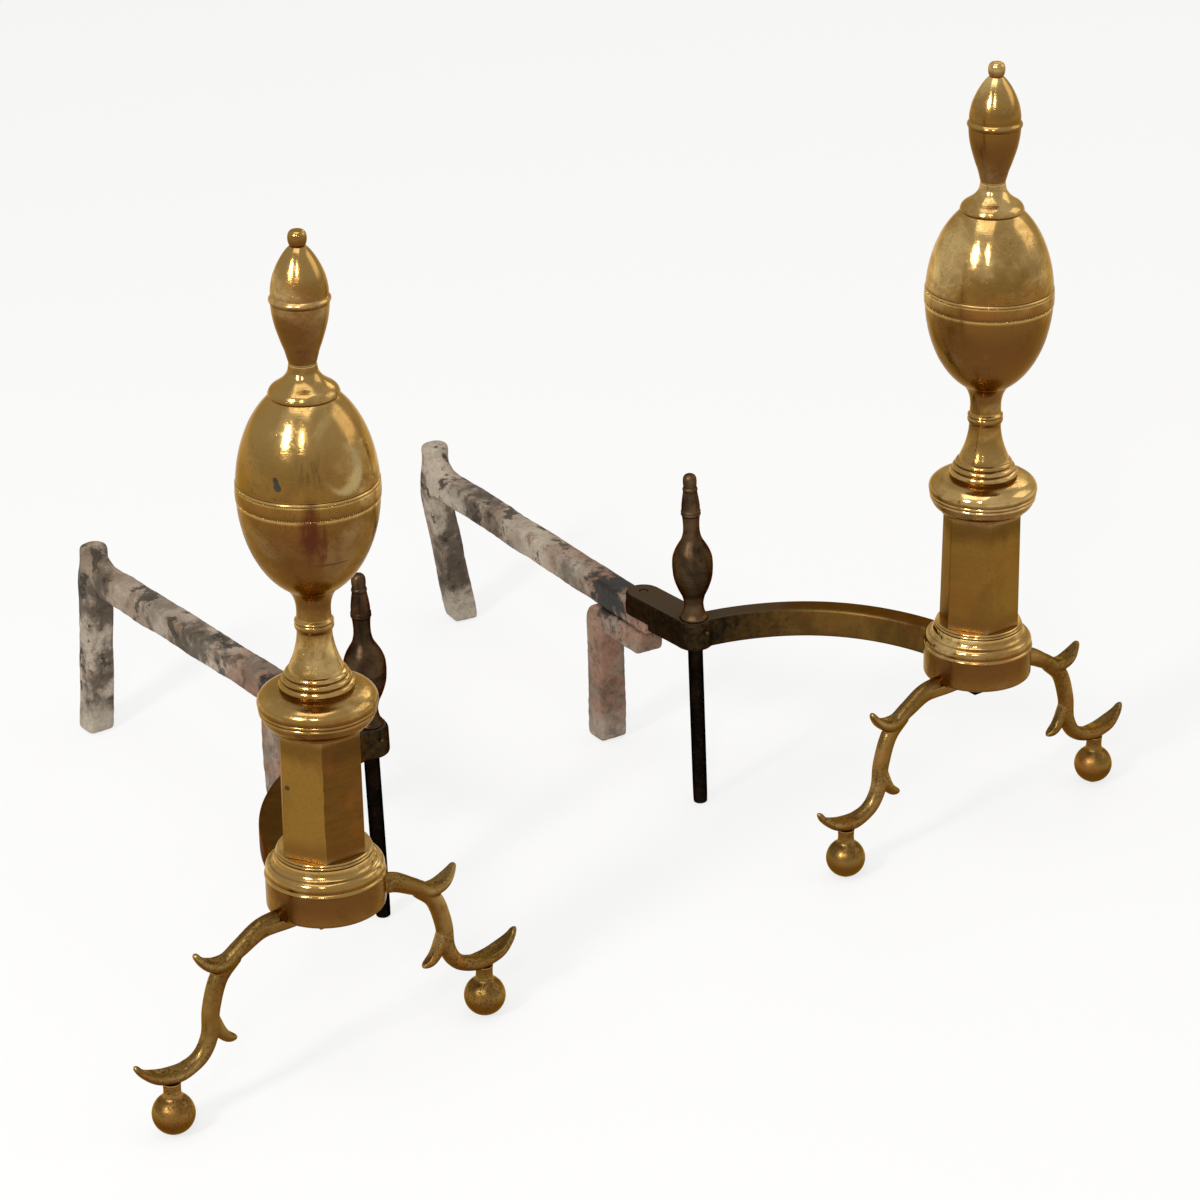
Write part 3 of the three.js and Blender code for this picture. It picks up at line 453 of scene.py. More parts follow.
# %% Forged iron and black iron
def burnt_iron(name, seed):
    material, shader, place, hollow, _ = start_metal(name)
    shader.inputs["Specular IOR Level"].default_value = 0.2
    broad = place.cloud(12, 3, 0.55, seed)
    patches = place.cloud(27, 5, 0.62, seed + 4, twist=0.15)
    fine = place.cloud(330, 5, 0.68, seed + 2)
    ragged = place.cloud(95, 6, 0.70, seed + 9)
    across, back, up = (place.along(axis) for axis in "XYZ")
    near_leg = (back + broad * 0.10).step(0.150, 0.070)
    pink = place.cloud(30, 5, 0.62, seed + 15).step(0.38, 0.56) * (0.22 + near_leg * 0.78)
    rust = place.cloud(70, 5, 0.66, seed + 6).step(0.54, 0.66)
    specks = place.cloud(190, 4, 0.62, seed + 31).step(0.60, 0.68)
    pale_foot = (up + patches * 0.03).step(0.046, 0.020)
    rear_head = (back + ragged * 0.02).step(0.235, 0.265) * (up + ragged * 0.05).step(0.060, 0.110)
    rear_head = rear_head * across.step(0.10, -0.05)
    smoke = place.cloud(19, 6, 0.64, seed + 11) + ragged * 0.26 + rear_head * 0.10
    smoke = smoke.step(0.610, 0.740) * (1 - near_leg * 0.55) * (0.62 + ragged * 0.45).clamped()
    soot = (place.cloud(58, 5, 0.66, seed + 21) + ragged * 0.24).step(0.680, 0.730)
    clean_foot = (up + ragged * 0.05).step(0.060, 0.036) * (1 - near_leg)
    from_rivet = (((across.math("ABSOLUTE", across) - 0.140) * 0.6) ** 2
                  + ((back + 0.003) * 0.85) ** 2 + (up - 0.130) ** 2) ** 0.5
    crust = (from_rivet + ragged * 0.070 + patches * 0.035).step(0.080, 0.068)
    crust = crust * back.step(-0.046, -0.036)
    colour = layered(
        broad.step(0.38, 0.60).mix((0.185, 0.150, 0.110), (0.39, 0.34, 0.265)),
        (patches.step(0.45, 0.62) * 0.55, (0.47, 0.42, 0.345)),
        (pink * 0.80, (0.355, 0.180, 0.118)),
        (rust * 0.60, (0.165, 0.072, 0.036)),
        (specks * near_leg * 0.75, (0.085, 0.036, 0.022)),
        (near_leg * 0.26, (0.10, 0.055, 0.035)),
        (pale_foot * 0.55, (0.50, 0.44, 0.365)),
        (smoke, (0.052, 0.037, 0.024)),
        (soot * (0.80 - near_leg * 0.50), (0.022, 0.018, 0.014)),
        (clean_foot * 0.80, (0.43, 0.375, 0.30)),
        (fine.step(0.42, 0.70) * 0.34, (0.11, 0.085, 0.06)),
        (crust * 0.95, (0.012, 0.011, 0.010)),
        (hollow.step(0.02, 0.3) * 0.40, (0.05, 0.037, 0.027)),
    )
    gloss = 0.70 + patches * 0.2 - crust * 0.26
    height = fine * 0.40 + patches * 0.6 + ragged * 0.25 + crust * 0.10
    return finish_metal(material, shader, colour, gloss, height, 0.04, 0.0010)


def black_iron(name, seed):
    material, shader, place, *_ = start_metal(name)
    shader.inputs["Specular Tint"].default_value = (0.16, 0.12, 0.09, 1)
    patches = place.cloud(45, 5, 0.6, seed)
    fine = place.cloud(300, 4, 0.6, seed + 1)
    colour = patches.step(0.4, 0.7).mix((0.005, 0.0036, 0.0026), (0.016, 0.009, 0.0055))
    colour = (fine.step(0.55, 0.75) * 0.4).mix(colour, (0.060, 0.028, 0.014))
    height = fine * 0.4 + patches * 0.4
    return finish_metal(material, shader, colour, 0.42 + patches * 0.2, height, 1.0, 0.0006)


iron_forged = burnt_iron("iron_forged", 2.2)
iron_black = black_iron("iron_black", 4.9)
print("iron:", iron_forged.name, iron_black.name)

# %% [markdown]
# ## From points to pieces
# Each shape is drawn once, in millimetres, about the axis of its own column with +X outwards. The
# left andiron is the mirror image, so its points change the sign of x and its faces are turned
# round. One helper makes the mesh, measures how hollow it is at every point and hands the piece
# over to the frame.

# %% Measuring hollows, and handing pieces over
half_spacing = 270.75
axis_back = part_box("right_plinth_drum")
column_y = (axis_back[0][1] + axis_back[1][1]) / 2 * 1000
sides = {"right": 1, "left": -1}


def mark_hollows(mesh, passes=2):
    """Writes hollow, positive in grooves and negative on sharp edges, and under, 1 facing down."""
    count = len(mesh.vertices)
    places = np.empty(count * 3)
    normals = np.empty(count * 3)
    mesh.vertices.foreach_get("co", places)
    mesh.vertex_normals.foreach_get("vector", normals)
    places, normals = places.reshape(-1, 3), normals.reshape(-1, 3)
    edges = np.empty(len(mesh.edges) * 2, dtype=np.int64)
    mesh.edges.foreach_get("vertices", edges)
    edges = edges.reshape(-1, 2)
    hollow, degree = np.zeros(count), np.zeros(count)
    for here, there in ((0, 1), (1, 0)):
        a, b = edges[:, here], edges[:, there]
        way = places[b] - places[a]
        length = np.maximum(np.linalg.norm(way, axis=1), 1e-9)
        lean = np.einsum("ij,ij->i", normals[a], way) / length
        np.add.at(hollow, a, lean)
        np.add.at(degree, a, 1)
    hollow /= np.maximum(degree, 1)
    for _ in range(passes):
        spread = np.zeros(count)
        np.add.at(spread, edges[:, 0], hollow[edges[:, 1]])
        np.add.at(spread, edges[:, 1], hollow[edges[:, 0]])
        hollow = 0.5 * hollow + 0.5 * spread / np.maximum(degree, 1)
    for label, values in (("hollow", hollow), ("under", -normals[:, 2])):
        layer = mesh.attributes.new(label, "FLOAT", "POINT")
        layer.data.foreach_set("value", values.astype(np.float32))


def link_piece(name, mesh, material, replaced, smooth_angle=32):
    mesh.materials.clear()
    mesh.materials.append(material)
    mesh.polygons.foreach_set("use_smooth", [True] * len(mesh.polygons))
    mesh.set_sharp_from_angle(angle=math.radians(smooth_angle))
    mark_hollows(mesh)
    piece = in_scene(name, mesh)
    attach(piece, "root")
    if replaced:
        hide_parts(*replaced)
    return piece


def side_mesh(name, points, faces, side):
    """A closed mesh in metres from points in millimetres about one column."""
    sign = sides[side]
    points = np.asarray(points, float)
    placed = points.copy()
    placed[:, 0] = sign * (half_spacing + points[:, 0])
    placed[:, 1] = points[:, 1] + column_y
    faces = [tuple(f) for f in faces]
    if sign < 0:
        faces = [f[::-1] for f in faces]
    mesh = bpy.data.meshes.new(name)
    mesh.from_pydata((placed / 1000).tolist(), [], faces)
    mesh.validate()
    mesh.update()
    return mesh


def dress(side, part, finish, shape, metal, smooth_angle=32):
    """Replaces one solid by a fine piece, named after the solid and the way it was finished."""
    node = f"{side}_{part}"
    link_piece(f"{node}_{finish}", side_mesh(node, *shape, side), metal, [node], smooth_angle)


print("column axis at y =", round(column_y, 2), "mm")

# %% [markdown]
# ## Turned work
# A turner cuts a profile and the lathe sweeps it round. The profile is kept in a small class with
# three strokes: a straight cut, a bow drawn towards one point, and a smooth curve through several.
# Its outline is then swept in many fine steps, far finer than the solids, so that the rings catch
# a clean highlight.

# %% A profile, and the lathe
def smooth_curve(knots, shares):
    """Points on a smooth curve through the knots, at the given shares of each way between two."""
    knots = np.array(knots, float)
    ends = np.vstack([2 * knots[0] - knots[1], knots, 2 * knots[-1] - knots[-2]])
    return [0.5 * (2 * p1 + (p2 - p0) * t + (2 * p0 - 5 * p1 + 4 * p2 - p3) * t * t
                   + (3 * p1 - p0 - 3 * p2 + p3) * t ** 3)
            for p0, p1, p2, p3 in zip(ends, ends[1:], ends[2:], ends[3:]) for t in shares]


class Profile:
    def __init__(self, radius, height):
        self.points = [(radius, height)]

    def cut(self, *points):
        self.points.extend(points)
        return self

    def bow(self, control, end, steps=8):
        start = self.points[-1]
        for i in range(1, steps + 1):
            t = i / steps
            a, b, c = (1 - t) ** 2, 2 * t * (1 - t), t * t
            self.points.append(tuple(a * s + b * k + c * e for s, k, e in zip(start, control, end)))
        return self

    def through(self, *points, steps=5):
        shares = [step / steps for step in range(1, steps + 1)]
        self.points.extend(tuple(p) for p in smooth_curve([self.points[-1], *points], shares))
        return self


def lathe(profile, segments=112):
    """Points and faces of a profile swept round the upright axis; ends on the axis are closed."""
    outline = [p for i, p in enumerate(profile.points)
               if i == 0 or math.dist(p, profile.points[i - 1]) > 1e-4]
    loop = math.dist(outline[0], outline[-1]) < 1e-4
    if loop:
        outline = outline[:-1]
    area = sum(a[0] * b[1] - b[0] * a[1] for a, b in zip(outline, outline[1:] + outline[:1]))
    if area < 0:
        outline = outline[::-1]
    points, rings = [], []
    for radius, height in outline:
        if radius < 1e-4:
            rings.append([len(points)] * segments)
            points.append((0, 0, height))
        else:
            rings.append(list(range(len(points), len(points) + segments)))
            for k in range(segments):
                turn = 2 * math.pi * k / segments
                points.append((radius * math.cos(turn), radius * math.sin(turn), height))
    pairs = list(zip(rings, rings[1:]))
    if loop:
        pairs.append((rings[-1], rings[0]))
    faces = []
    for low, high in pairs:
        for k in range(segments):
            nxt = (k + 1) % segments
            quad = [low[k], low[nxt], high[nxt], high[k]]
            face_shade = [v for i, v in enumerate(quad) if v not in quad[:i]]
            if len(face_shade) > 2:
                faces.append(face_shade)
    return np.array(points, float), faces


def foot_of(node):
    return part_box(node)[0][2] * 1000


print("lathe ready")

# %% [markdown]
# ## The column, piece by piece
# From the floor up: a drum with a fine bead and an ogee shoulder, two thin rings, the six-sided shaft,
# a capital, a neck, the two halves of the urn, a flared cap and the lemon finial. Heights are
# measured from the foot of each piece.

# %% Profiles of the column
bore = 4.3
urn_radius, urn_rise, seam_above_widest = 43.1, 67.8, 7.0


def egg(height):
    return urn_radius * math.sqrt(1 - (height / urn_rise) ** 2)


drum = Profile(34.3, 0).cut((35.6, 0)).bow((37.2, 0.1), (37.3, 2.2), 6)
drum.cut((37.3, 20.5)).bow((38.3, 21.4), (37.2, 22.5), 6).cut((36.8, 22.8), (36.75, 23.3))
drum.bow((37.5, 25.6), (36.6, 27.6), 7).bow((36.0, 29.3), (33.9, 30.0), 6)
drum.bow((31.2, 30.9), (30.7, 33.8), 7).cut((30.6, 35.7), (30.3, 36), (bore, 36), (bore, 31))
drum.cut((27.4, 31), (33.4, 26.6), (34.3, 24), (34.3, 0))

collar = Profile(bore, 0).cut((29.8, 0)).bow((30.7, 0.8), (29.8, 1.6), 5).cut((29.3, 1.8))
collar.bow((30.0, 2.6), (28.9, 3.4), 5).cut((bore, 3.4), (bore, 0))

capital = Profile(bore, 0).cut((28.5, 0), (28.8, 0.4), (29.1, 2.2)).bow((33.6, 3.8), (35.2, 8.6), 10)
capital.cut((35.4, 9.2)).bow((36.5, 10.1), (35.9, 11.2), 5).cut((35.7, 11.5), (35.9, 12.0))
capital.bow((36.9, 12.9), (36.3, 13.9), 5).cut((36.1, 14.2))
capital.through((36.9, 15.8), (36.9, 18.0), (35.9, 20.4), (33.6, 22.7), (30.6, 24.2), (27.5, 25.0),
                (24.4, 25.4))
capital.cut((24.0, 25.5), (bore, 25.5), (bore, 0))

neck = Profile(bore, 0).cut((22.7, 0)).bow((24.4, 2.3), (22.6, 4.6), 8).cut((21.3, 5.1))
neck.bow((22.1, 6.6), (20.6, 8.2), 6).cut((19.2, 8.7)).bow((20.0, 10.1), (18.5, 11.6), 6).cut((17.2, 12.1))
neck.through((16.7, 14.0), (15.4, 17.2), (13.9, 21.0), (12.6, 25.2), (11.5, 30.2), (10.9, 34.6),
             (10.8, 37.6))
neck.cut((11.3, 38.9), (11.6, 39.4)).bow((12.6, 41.2), (11.7, 43.0), 6).cut((11.5, 43.3))
neck.bow((12.6, 44.3), (11.5, 45.3), 6).cut((11.2, 45.6), (10.6, 46.2))
neck.through((10.5, 51), (10.8, 55.4), (12.0, 60), (14.0, 63.8), (16.6, 66.9)).cut((bore, 67), (bore, 0))
print("drum to neck:", [len(p.points) for p in (drum, collar, capital, neck)])

# %% Profiles of the urn, its cap and the finial
lower_half = 69
wide = lower_half - seam_above_widest
urn_lower = Profile(bore, 0).cut((egg(-wide), 0))
urn_lower.cut(*[(egg(h), wide + h) for h in np.linspace(-wide + 1.5, -4.3, 26)])
urn_lower.cut((egg(-4.2) - 0.35, wide - 4.1), (egg(-4) - 0.35, wide - 3.7), (egg(-3.4) + 0.25, wide - 3.3))
urn_lower.cut(*[(egg(h) + 0.32 + 0.18 * math.cos(math.pi * h / 9), wide + h)
                for h in np.linspace(-2.6, 4.6, 8)])
urn_lower.cut((egg(5) - 0.15, wide + 5.0), (egg(5.2) - 0.15, wide + 5.3), (egg(5.5) + 0.35, wide + 5.6))
urn_lower.cut((egg(6.2) + 0.4, wide + 6.3), (egg(6.6) + 0.1, wide + 6.8), (egg(7) - 0.3, wide + 7))
urn_lower.cut((40.0, 69), (39.8, 62)).through((37, 36), (28, 14), (15, 6)).cut((bore, 6), (bore, 0))

urn_upper = Profile(40.0, 0).cut((egg(7) - 0.4, 0), (egg(7.2) - 0.1, 0.35))
urn_upper.cut(*[(egg(h), h - 7) for h in np.linspace(8, 59.4, 26)])
urn_upper.cut((egg(60) - 0.1, 53), (bore, 53), (bore, 50), (18, 50)).through((27, 42), (36, 26), (40.0, 0))

cap = Profile(bore, 0).cut((21.3, 0)).bow((21.7, 0.6), (21.3, 1.3), 4).bow((20.6, 4.0), (17.9, 5.6), 7)
cap.through((14.6, 7.8), (11.5, 10.6), (9.3, 14.2), (8.4, 18.9)).cut((bore, 19), (bore, 0))

finial = Profile(0, 23).cut((bore, 23), (bore, 0), (8.3, 0))
finial.through((9.4, 4.1), (10.5, 8.2), (12.0, 12.3), (13.4, 16.6), (14.8, 21.2), (16.0, 26),
               (16.9, 31.4), (17.4, 37))
finial.cut((17.4, 37.6)).bow((19.4, 39.5), (17.5, 41.4), 8).cut((17.0, 41.8), (17.1, 42.4))
finial.through((17.1, 45.5), (16.5, 49.5), (15.5, 53.6), (14.0, 57.6), (12.1, 61.6), (9.9, 65.4),
               (7.4, 68.9), (5.1, 71.3))
finial.cut((4.6, 71.7)).through((5.3, 73.4), (5.7, 76.2), (5.3, 79), (3.9, 80.8), (2.0, 81.15), (0, 81.2))
print("urn to finial:", [len(p.points) for p in (urn_lower, urn_upper, cap, finial)])

# %% Turn the column pieces for both sides
column_profiles = {
    "plinth_drum": drum, "shaft_collar": collar, "capital": capital, "turned_neck": neck,
    "urn_lower": urn_lower, "urn_upper": urn_upper, "urn_cap": cap, "lemon_finial": finial,
}
stained_pieces = ("left_urn_lower", "left_urn_upper")
for part, profile in column_profiles.items():
    points, faces = lathe(profile)
    for side in sides:
        node = f"{side}_{part}"
        metal = brass_stained if node in stained_pieces else brass_turned
        dress(side, part, "turned", (points + (0, 0, foot_of(node)), faces), metal)
print("turned", len(column_profiles) * 2, "pieces")

# %% [markdown]
# ## The six-sided shaft
# The shaft is one of the shapes here that follow a rule: a six-sided outline with softened corners,
# carried up a straight line while it shrinks a little. Geometry Nodes can say exactly that. A
# circle of six points is filleted and swept up a line at a shrinking scale, so the number of
# sides, the fillet and the taper are inputs of the node tree; the swept mesh is then kept as a plain mesh.

# %% A small helper for node trees, and the shaft
def geometry_tree(name, inputs):
    tree = bpy.data.node_groups.new(name, "GeometryNodeTree")
    kinds = {"float": "NodeSocketFloat", "int": "NodeSocketInt", "material": "NodeSocketMaterial"}
    for label, kind in inputs.items():
        tree.interface.new_socket(label, in_out="INPUT", socket_type=kinds[kind])
    tree.interface.new_socket("Geometry", in_out="OUTPUT", socket_type="NodeSocketGeometry")
    return tree, tree.nodes.new("NodeGroupInput"), tree.nodes.new("NodeGroupOutput")


def tree_node(tree, kind, links=None, **settings):
    made = tree.nodes.new(kind)
    for key, value in settings.items():
        setattr(made, key, value)
    for key, value in (links or {}).items():
        socket = made.inputs[key]
        if isinstance(value, bpy.types.NodeSocket):
            tree.links.new(value, socket)
        else:
            socket.default_value = value
    return made


def finish_tree(tree, given, result, last):
    """Makes instances real, gives them the material that is asked for and ends the tree."""
    solid = tree_node(tree, "GeometryNodeRealizeInstances", {"Geometry": last.outputs[0]})
    dressed = tree_node(tree, "GeometryNodeSetMaterial",
                        {"Geometry": solid.outputs[0], "Material": given.outputs["Finish"]})
    tree.links.new(dressed.outputs[0], result.inputs["Geometry"])


def taken_off(holder):
    """Points and faces of an object after its modifiers; the object itself is put away."""
    ready = holder.evaluated_get(bpy.context.evaluated_depsgraph_get())
    mesh = bpy.data.meshes.new_from_object(ready)
    bpy.data.objects.remove(holder)
    points = np.empty(len(mesh.vertices) * 3)
    mesh.vertices.foreach_get("co", points)
    return points.reshape(-1, 3), [tuple(p.vertices) for p in mesh.polygons]


def grown(tree, values):
    """Runs a tree on an empty mesh and returns the points and faces it makes."""
    holder = in_scene(tree.name, bpy.data.meshes.new(tree.name))
    modifier = holder.modifiers.new("tree", "NODES")
    modifier.node_group = tree
    for item in tree.interface.items_tree:
        if item.in_out == "INPUT" and item.name in values:
            modifier[item.identifier] = values[item.name]
    return taken_off(holder)


shaft_tree, given, result = geometry_tree("tapered_shaft", {
    "Sides": "int", "Foot radius": "float", "Head radius": "float",
    "Height": "float", "Corner": "float", "Finish": "material",
})
ring = tree_node(shaft_tree, "GeometryNodeCurvePrimitiveCircle",
                 {"Resolution": given.outputs["Sides"], "Radius": given.outputs["Foot radius"]})
soft = tree_node(shaft_tree, "GeometryNodeFilletCurve",
                 {"Curve": ring.outputs[0], "Radius": given.outputs["Corner"], "Count": 5}, mode="POLY")
end = tree_node(shaft_tree, "ShaderNodeCombineXYZ", {"Z": given.outputs["Height"]})
line = tree_node(shaft_tree, "GeometryNodeCurvePrimitiveLine", {"End": end.outputs[0]})
line = tree_node(shaft_tree, "GeometryNodeResampleCurve", {"Curve": line.outputs[0], "Count": 24})
along = tree_node(shaft_tree, "GeometryNodeSplineParameter")
shrink = tree_node(shaft_tree, "ShaderNodeMath",
                   {0: given.outputs["Head radius"], 1: given.outputs["Foot radius"]}, operation="DIVIDE")
taper = tree_node(shaft_tree, "ShaderNodeMix",
                  {"Factor": along.outputs["Factor"], "A": 1.0, "B": shrink.outputs[0]})
swept = tree_node(shaft_tree, "GeometryNodeCurveToMesh",
                  {"Curve": line.outputs[0], "Profile Curve": soft.outputs[0],
                   "Scale": taper.outputs[0], "Fill Caps": True})
finish_tree(shaft_tree, given, result, swept)

shaft_points, shaft_faces = grown(shaft_tree, {
    "Sides": 6, "Foot radius": 28.5, "Head radius": 27.7, "Height": 82.0, "Corner": 1.6,
    "Finish": brass_filed,
})
print("shaft:", len(shaft_points), "points, half sizes", np.abs(shaft_points).max(axis=0).round(2))

# %% Painted light and shade for each filed face
painted_face_shading = {
    "left": (0.10, 0.85, 0.50, 0.45, 0.60, 0.50),
    "right": (0.40, 0.28, 0.55, 0.50, 0.45, 0.60),
}
for side in sides:
    node = f"{side}_hex_shaft"
    raised = shaft_points + (0, 0, foot_of(node))
    shaft = side_mesh(node, raised, shaft_faces, side)
    shading_layer = shaft.attributes.new("face_tone", "FLOAT", "FACE")
    for polygon in shaft.polygons:
        facing = math.degrees(math.atan2(polygon.normal.y, polygon.normal.x))
        shading_layer.data[polygon.index].value = painted_face_shading[side][round((facing + 150) / 60) % 6]
    link_piece(f"{node}_softened", shaft, brass_filed, [node], 40)

# %% [markdown]
# ## The milled lines on the urn
# A knurling wheel was pressed into the turning brass to give two rows of fine beads, below and
# above the band. A row is one bead repeated on a circle, which is work for Geometry Nodes: the
# number of beads, their size and the circle's radius are inputs, and the instances are made real.

# %% Rows of beads
bead_tree, given, result = geometry_tree("milled_line", {
    "Ring radius": "float", "Bead radius": "float", "Beads": "int", "Finish": "material",
})
circle = tree_node(bead_tree, "GeometryNodeMeshCircle",
                   {"Vertices": given.outputs["Beads"], "Radius": given.outputs["Ring radius"]})
bead = tree_node(bead_tree, "GeometryNodeMeshUVSphere",
                 {"Segments": 6, "Rings": 4, "Radius": given.outputs["Bead radius"]})
scatter = tree_node(bead_tree, "GeometryNodeInstanceOnPoints",
                    {"Points": circle.outputs[0], "Instance": bead.outputs["Mesh"]})
finish_tree(bead_tree, given, result, scatter)

beads_in_row, bead_lift = 190, 0.02
milled_lines = {"lower": (-3.85, 0.42), "upper": (5.15, 0.36)}
for row, (above_widest, bead_radius) in milled_lines.items():
    points, faces = grown(bead_tree, {
        "Ring radius": egg(above_widest) + bead_lift, "Bead radius": bead_radius,
        "Beads": beads_in_row, "Finish": brass_turned,
    })
    for side in sides:
        raised = points + (0, 0, foot_of(f"{side}_urn_lower") + wide + above_widest)
        name = f"{side}_urn_{row}_milling"
        link_piece(name, side_mesh(name, raised, faces, side), brass_turned, [], 180)
print("milled lines:", len(milled_lines) * 2)

# %% [markdown]
# ## Limbs and welds
# Legs, arms and irons are not turned: they bend, taper and run into each other. Each is drawn as a
# few limbs, closed sweeps along a curve with a rounded section. A voxel remesh then melts the limbs
# of one piece into a single skin, as casting or welding does, and a little smoothing rounds every
# join. This gives fillets for free, where a plain union would leave a hard crease.

# %% Sweeping and melting
def spline(knots, count):
    """Evenly spaced points and tangents on a smooth curve through the knots."""
    fine = smooth_curve(knots, np.linspace(0, 1, 24, endpoint=False))
    fine = np.array([*fine, knots[-1]], float)
    reach = np.r_[0, np.cumsum(np.linalg.norm(np.diff(fine, axis=0), axis=1))]
    marks = np.linspace(0, reach[-1], count)
    centres = np.column_stack([np.interp(marks, reach, fine[:, k]) for k in range(3)])
    tangents = np.gradient(centres, axis=0)
    return centres, tangents / np.linalg.norm(tangents, axis=1)[:, None]


def limb(knots, across, width, depth, count=40, sides_round=20, squareness=2.6, shift=0.0):
    """A closed sweep. width(t) is half the size in the curve's plane, depth(t) half along across."""
    centres, tangents = spline(knots, count)
    across = np.array(across, float)
    points, faces = [], []
    turns = (np.arange(sides_round) + 0.5) * 2 * math.pi / sides_round
    cosines, sines = np.cos(turns), np.sin(turns)
    u = np.sign(cosines) * np.abs(cosines) ** (2 / squareness)
    v = np.sign(sines) * np.abs(sines) ** (2 / squareness)
    for i, (centre, tangent) in enumerate(zip(centres, tangents)):
        t = i / (count - 1)
        normal = np.cross(across, tangent)
        normal /= np.linalg.norm(normal)
        points.extend(centre + np.outer(u * width(t) + shift, normal) + np.outer(v * depth(t), across))
    for i in range(count - 1):
        for k in range(sides_round):
            a, b = i * sides_round + k, i * sides_round + (k + 1) % sides_round
            faces.append((a, b, b + sides_round, a + sides_round))
    start, last = len(points), (count - 1) * sides_round
    points.extend([centres[0], centres[-1]])
    for k in range(sides_round):
        nxt = (k + 1) % sides_round
        faces.append((start, nxt, k))
        faces.append((start + 1, last + k, last + nxt))
    return np.array(points), faces


def slab(low, high):
    """A plain box between two corners."""
    corners = np.array([[(low, high)[(i >> k) & 1][k] for k in range(3)] for i in range(8)], float)
    return corners, [(0, 2, 3, 1), (4, 5, 7, 6), (0, 1, 5, 4), (2, 6, 7, 3), (0, 4, 6, 2), (1, 3, 7, 5)]


def together(*shapes):
    points, faces, base = [], [], 0
    for shape_points, shape_faces in shapes:
        points.append(np.asarray(shape_points, float))
        faces.extend(tuple(i + base for i in f) for f in shape_faces)
        base += len(shape_points)
    return np.vstack(points), faces


def on_the_bench(shape):
    """An object made from points and faces, with its faces turned outwards."""
    mesh = bpy.data.meshes.new("blank")
    mesh.from_pydata(np.asarray(shape[0], float).tolist(), [], [list(f) for f in shape[1]])
    bench = bmesh.new()
    bench.from_mesh(mesh)
    bmesh.ops.recalc_face_normals(bench, faces=bench.faces)
    bench.to_mesh(mesh)
    bench.free()
    return in_scene("blank", mesh)


def worked(shape, *steps):
    """Runs a shape through modifiers, each given as (kind, settings), and returns the result."""
    holder = on_the_bench(shape)
    for kind, settings in steps:
        modifier = holder.modifiers.new(kind, kind)
        for key, value in settings.items():
            setattr(modifier, key, value)
    return taken_off(holder)


def new_skin(voxel):
    return "REMESH", {"mode": "VOXEL", "voxel_size": voxel, "adaptivity": 0.0}


def melted(shape, voxel, rounds):
    return worked(shape, new_skin(voxel), ("SMOOTH", {"factor": 0.5, "iterations": rounds}))


def cut_by(shape, *cutters):
    """Takes closed cutters away from a closed shape."""
    for cutter in cutters:
        tool = on_the_bench(cutter)
        cut = {"operation": "DIFFERENCE", "object": tool, "solver": "EXACT"}
        shape = worked(shape, ("BOOLEAN", cut))
        bpy.data.objects.remove(tool)
    return shape


def column_of(radius, low, high, x=0.0, y=0.0, segments=96):
    points, faces = lathe(Profile(0, low).cut((radius, low), (radius, high), (0, high)), segments)
    return points + (x, y, 0), faces


print("sweeping ready")

# %% [markdown]
# ## The spurred legs
# A leg is one brass casting with a rhythm of spurs: the shoulder leaves the drum and ends in the
# knee spur, the shank turns down and out again into a leaf-shaped toe, and a small spur hangs
# behind the ankle. Each of these is a limb of its own, so its thinning can be given directly.

# %% Legs
def runs_out(t, root, body, start, end=0.45):
    """Half thickness of a limb that narrows from root to body, then runs out to a thin end."""
    if t < start:
        return root + (body - root) * (t / start) ** 1.4
    return end + (body - end) * math.sqrt(max(0.0, 1 - ((t - start) / (1 - start)) ** 1.6))


def knots_in_plane(*pairs):
    return [(reach, 0, height) for reach, height in pairs]


def swell(t, start, end):
    t = min(1.0, max(0.0, (t - start) / (end - start)))
    return t * t * (3 - 2 * t)


def blunt_end(t):
    return math.sqrt(1 - 0.9 * max(0.0, t / 0.3 - 7 / 3) ** 2)


def dished(shape, knots, start, depth, half_width):
    """Hollows the upper side of a leaf along a curve, most in the middle of its width."""
    marks = 120
    centres, tangents = spline(knots, marks)
    points = shape[0].copy()
    offset = points[:, None, ::2] - centres[None, :, ::2]
    nearest = (offset ** 2).sum(axis=2).argmin(axis=1)
    upward = np.column_stack([-tangents[:, 2], tangents[:, 0]])[nearest]
    above = (offset[np.arange(len(points)), nearest] * upward).sum(axis=1)
    t = np.clip((nearest / (marks - 1) - start) / (0.97 - start), 0, 1)
    push = depth * np.sin(math.pi * t) ** 0.7 * np.clip(1 - (points[:, 1] / half_width) ** 2, 0, 1)
    push = push * ((above > 0.4) & (above < 9))
    points[:, 0] -= push * upward[:, 0]
    points[:, 2] -= push * upward[:, 1]
    return points, shape[1]


y_axis, z_axis = (0, 1, 0), (0, 0, 1)
drum_foot = foot_of("right_plinth_drum")
shoulder_knots = knots_in_plane(
    (24, 120.6), (29.4, 120.5), (48.2, 119.3), (64, 111.2), (76, 105), (87, 107.1), (96.9, 117.5))
shank_knots = knots_in_plane(
    (68.7, 107.8), (80.3, 95.8), (86.8, 76.4), (88.9, 58.6), (96.7, 45.7), (110.7, 40.2),
    (126.3, 42.2), (136.5, 48.4), (143, 55.5))
shoulder = limb(
    shoulder_knots, y_axis, lambda t: runs_out(t, 7.6, 4.9, 0.62),
    lambda t: runs_out(t, 5.0, 5.2, 0.80) + 1.2 * swell(t, 0.60, 0.72) * (1 - swell(t, 0.80, 1.0)), 72)
shank = limb(
    shank_knots, y_axis, lambda t: runs_out(t, 6.0, 4.9, 0.66),
    lambda t: runs_out(t, 4.9, 5.1, 0.84) + 1.9 * swell(t, 0.60, 0.74) * (1 - swell(t, 0.82, 1.0)), 100)
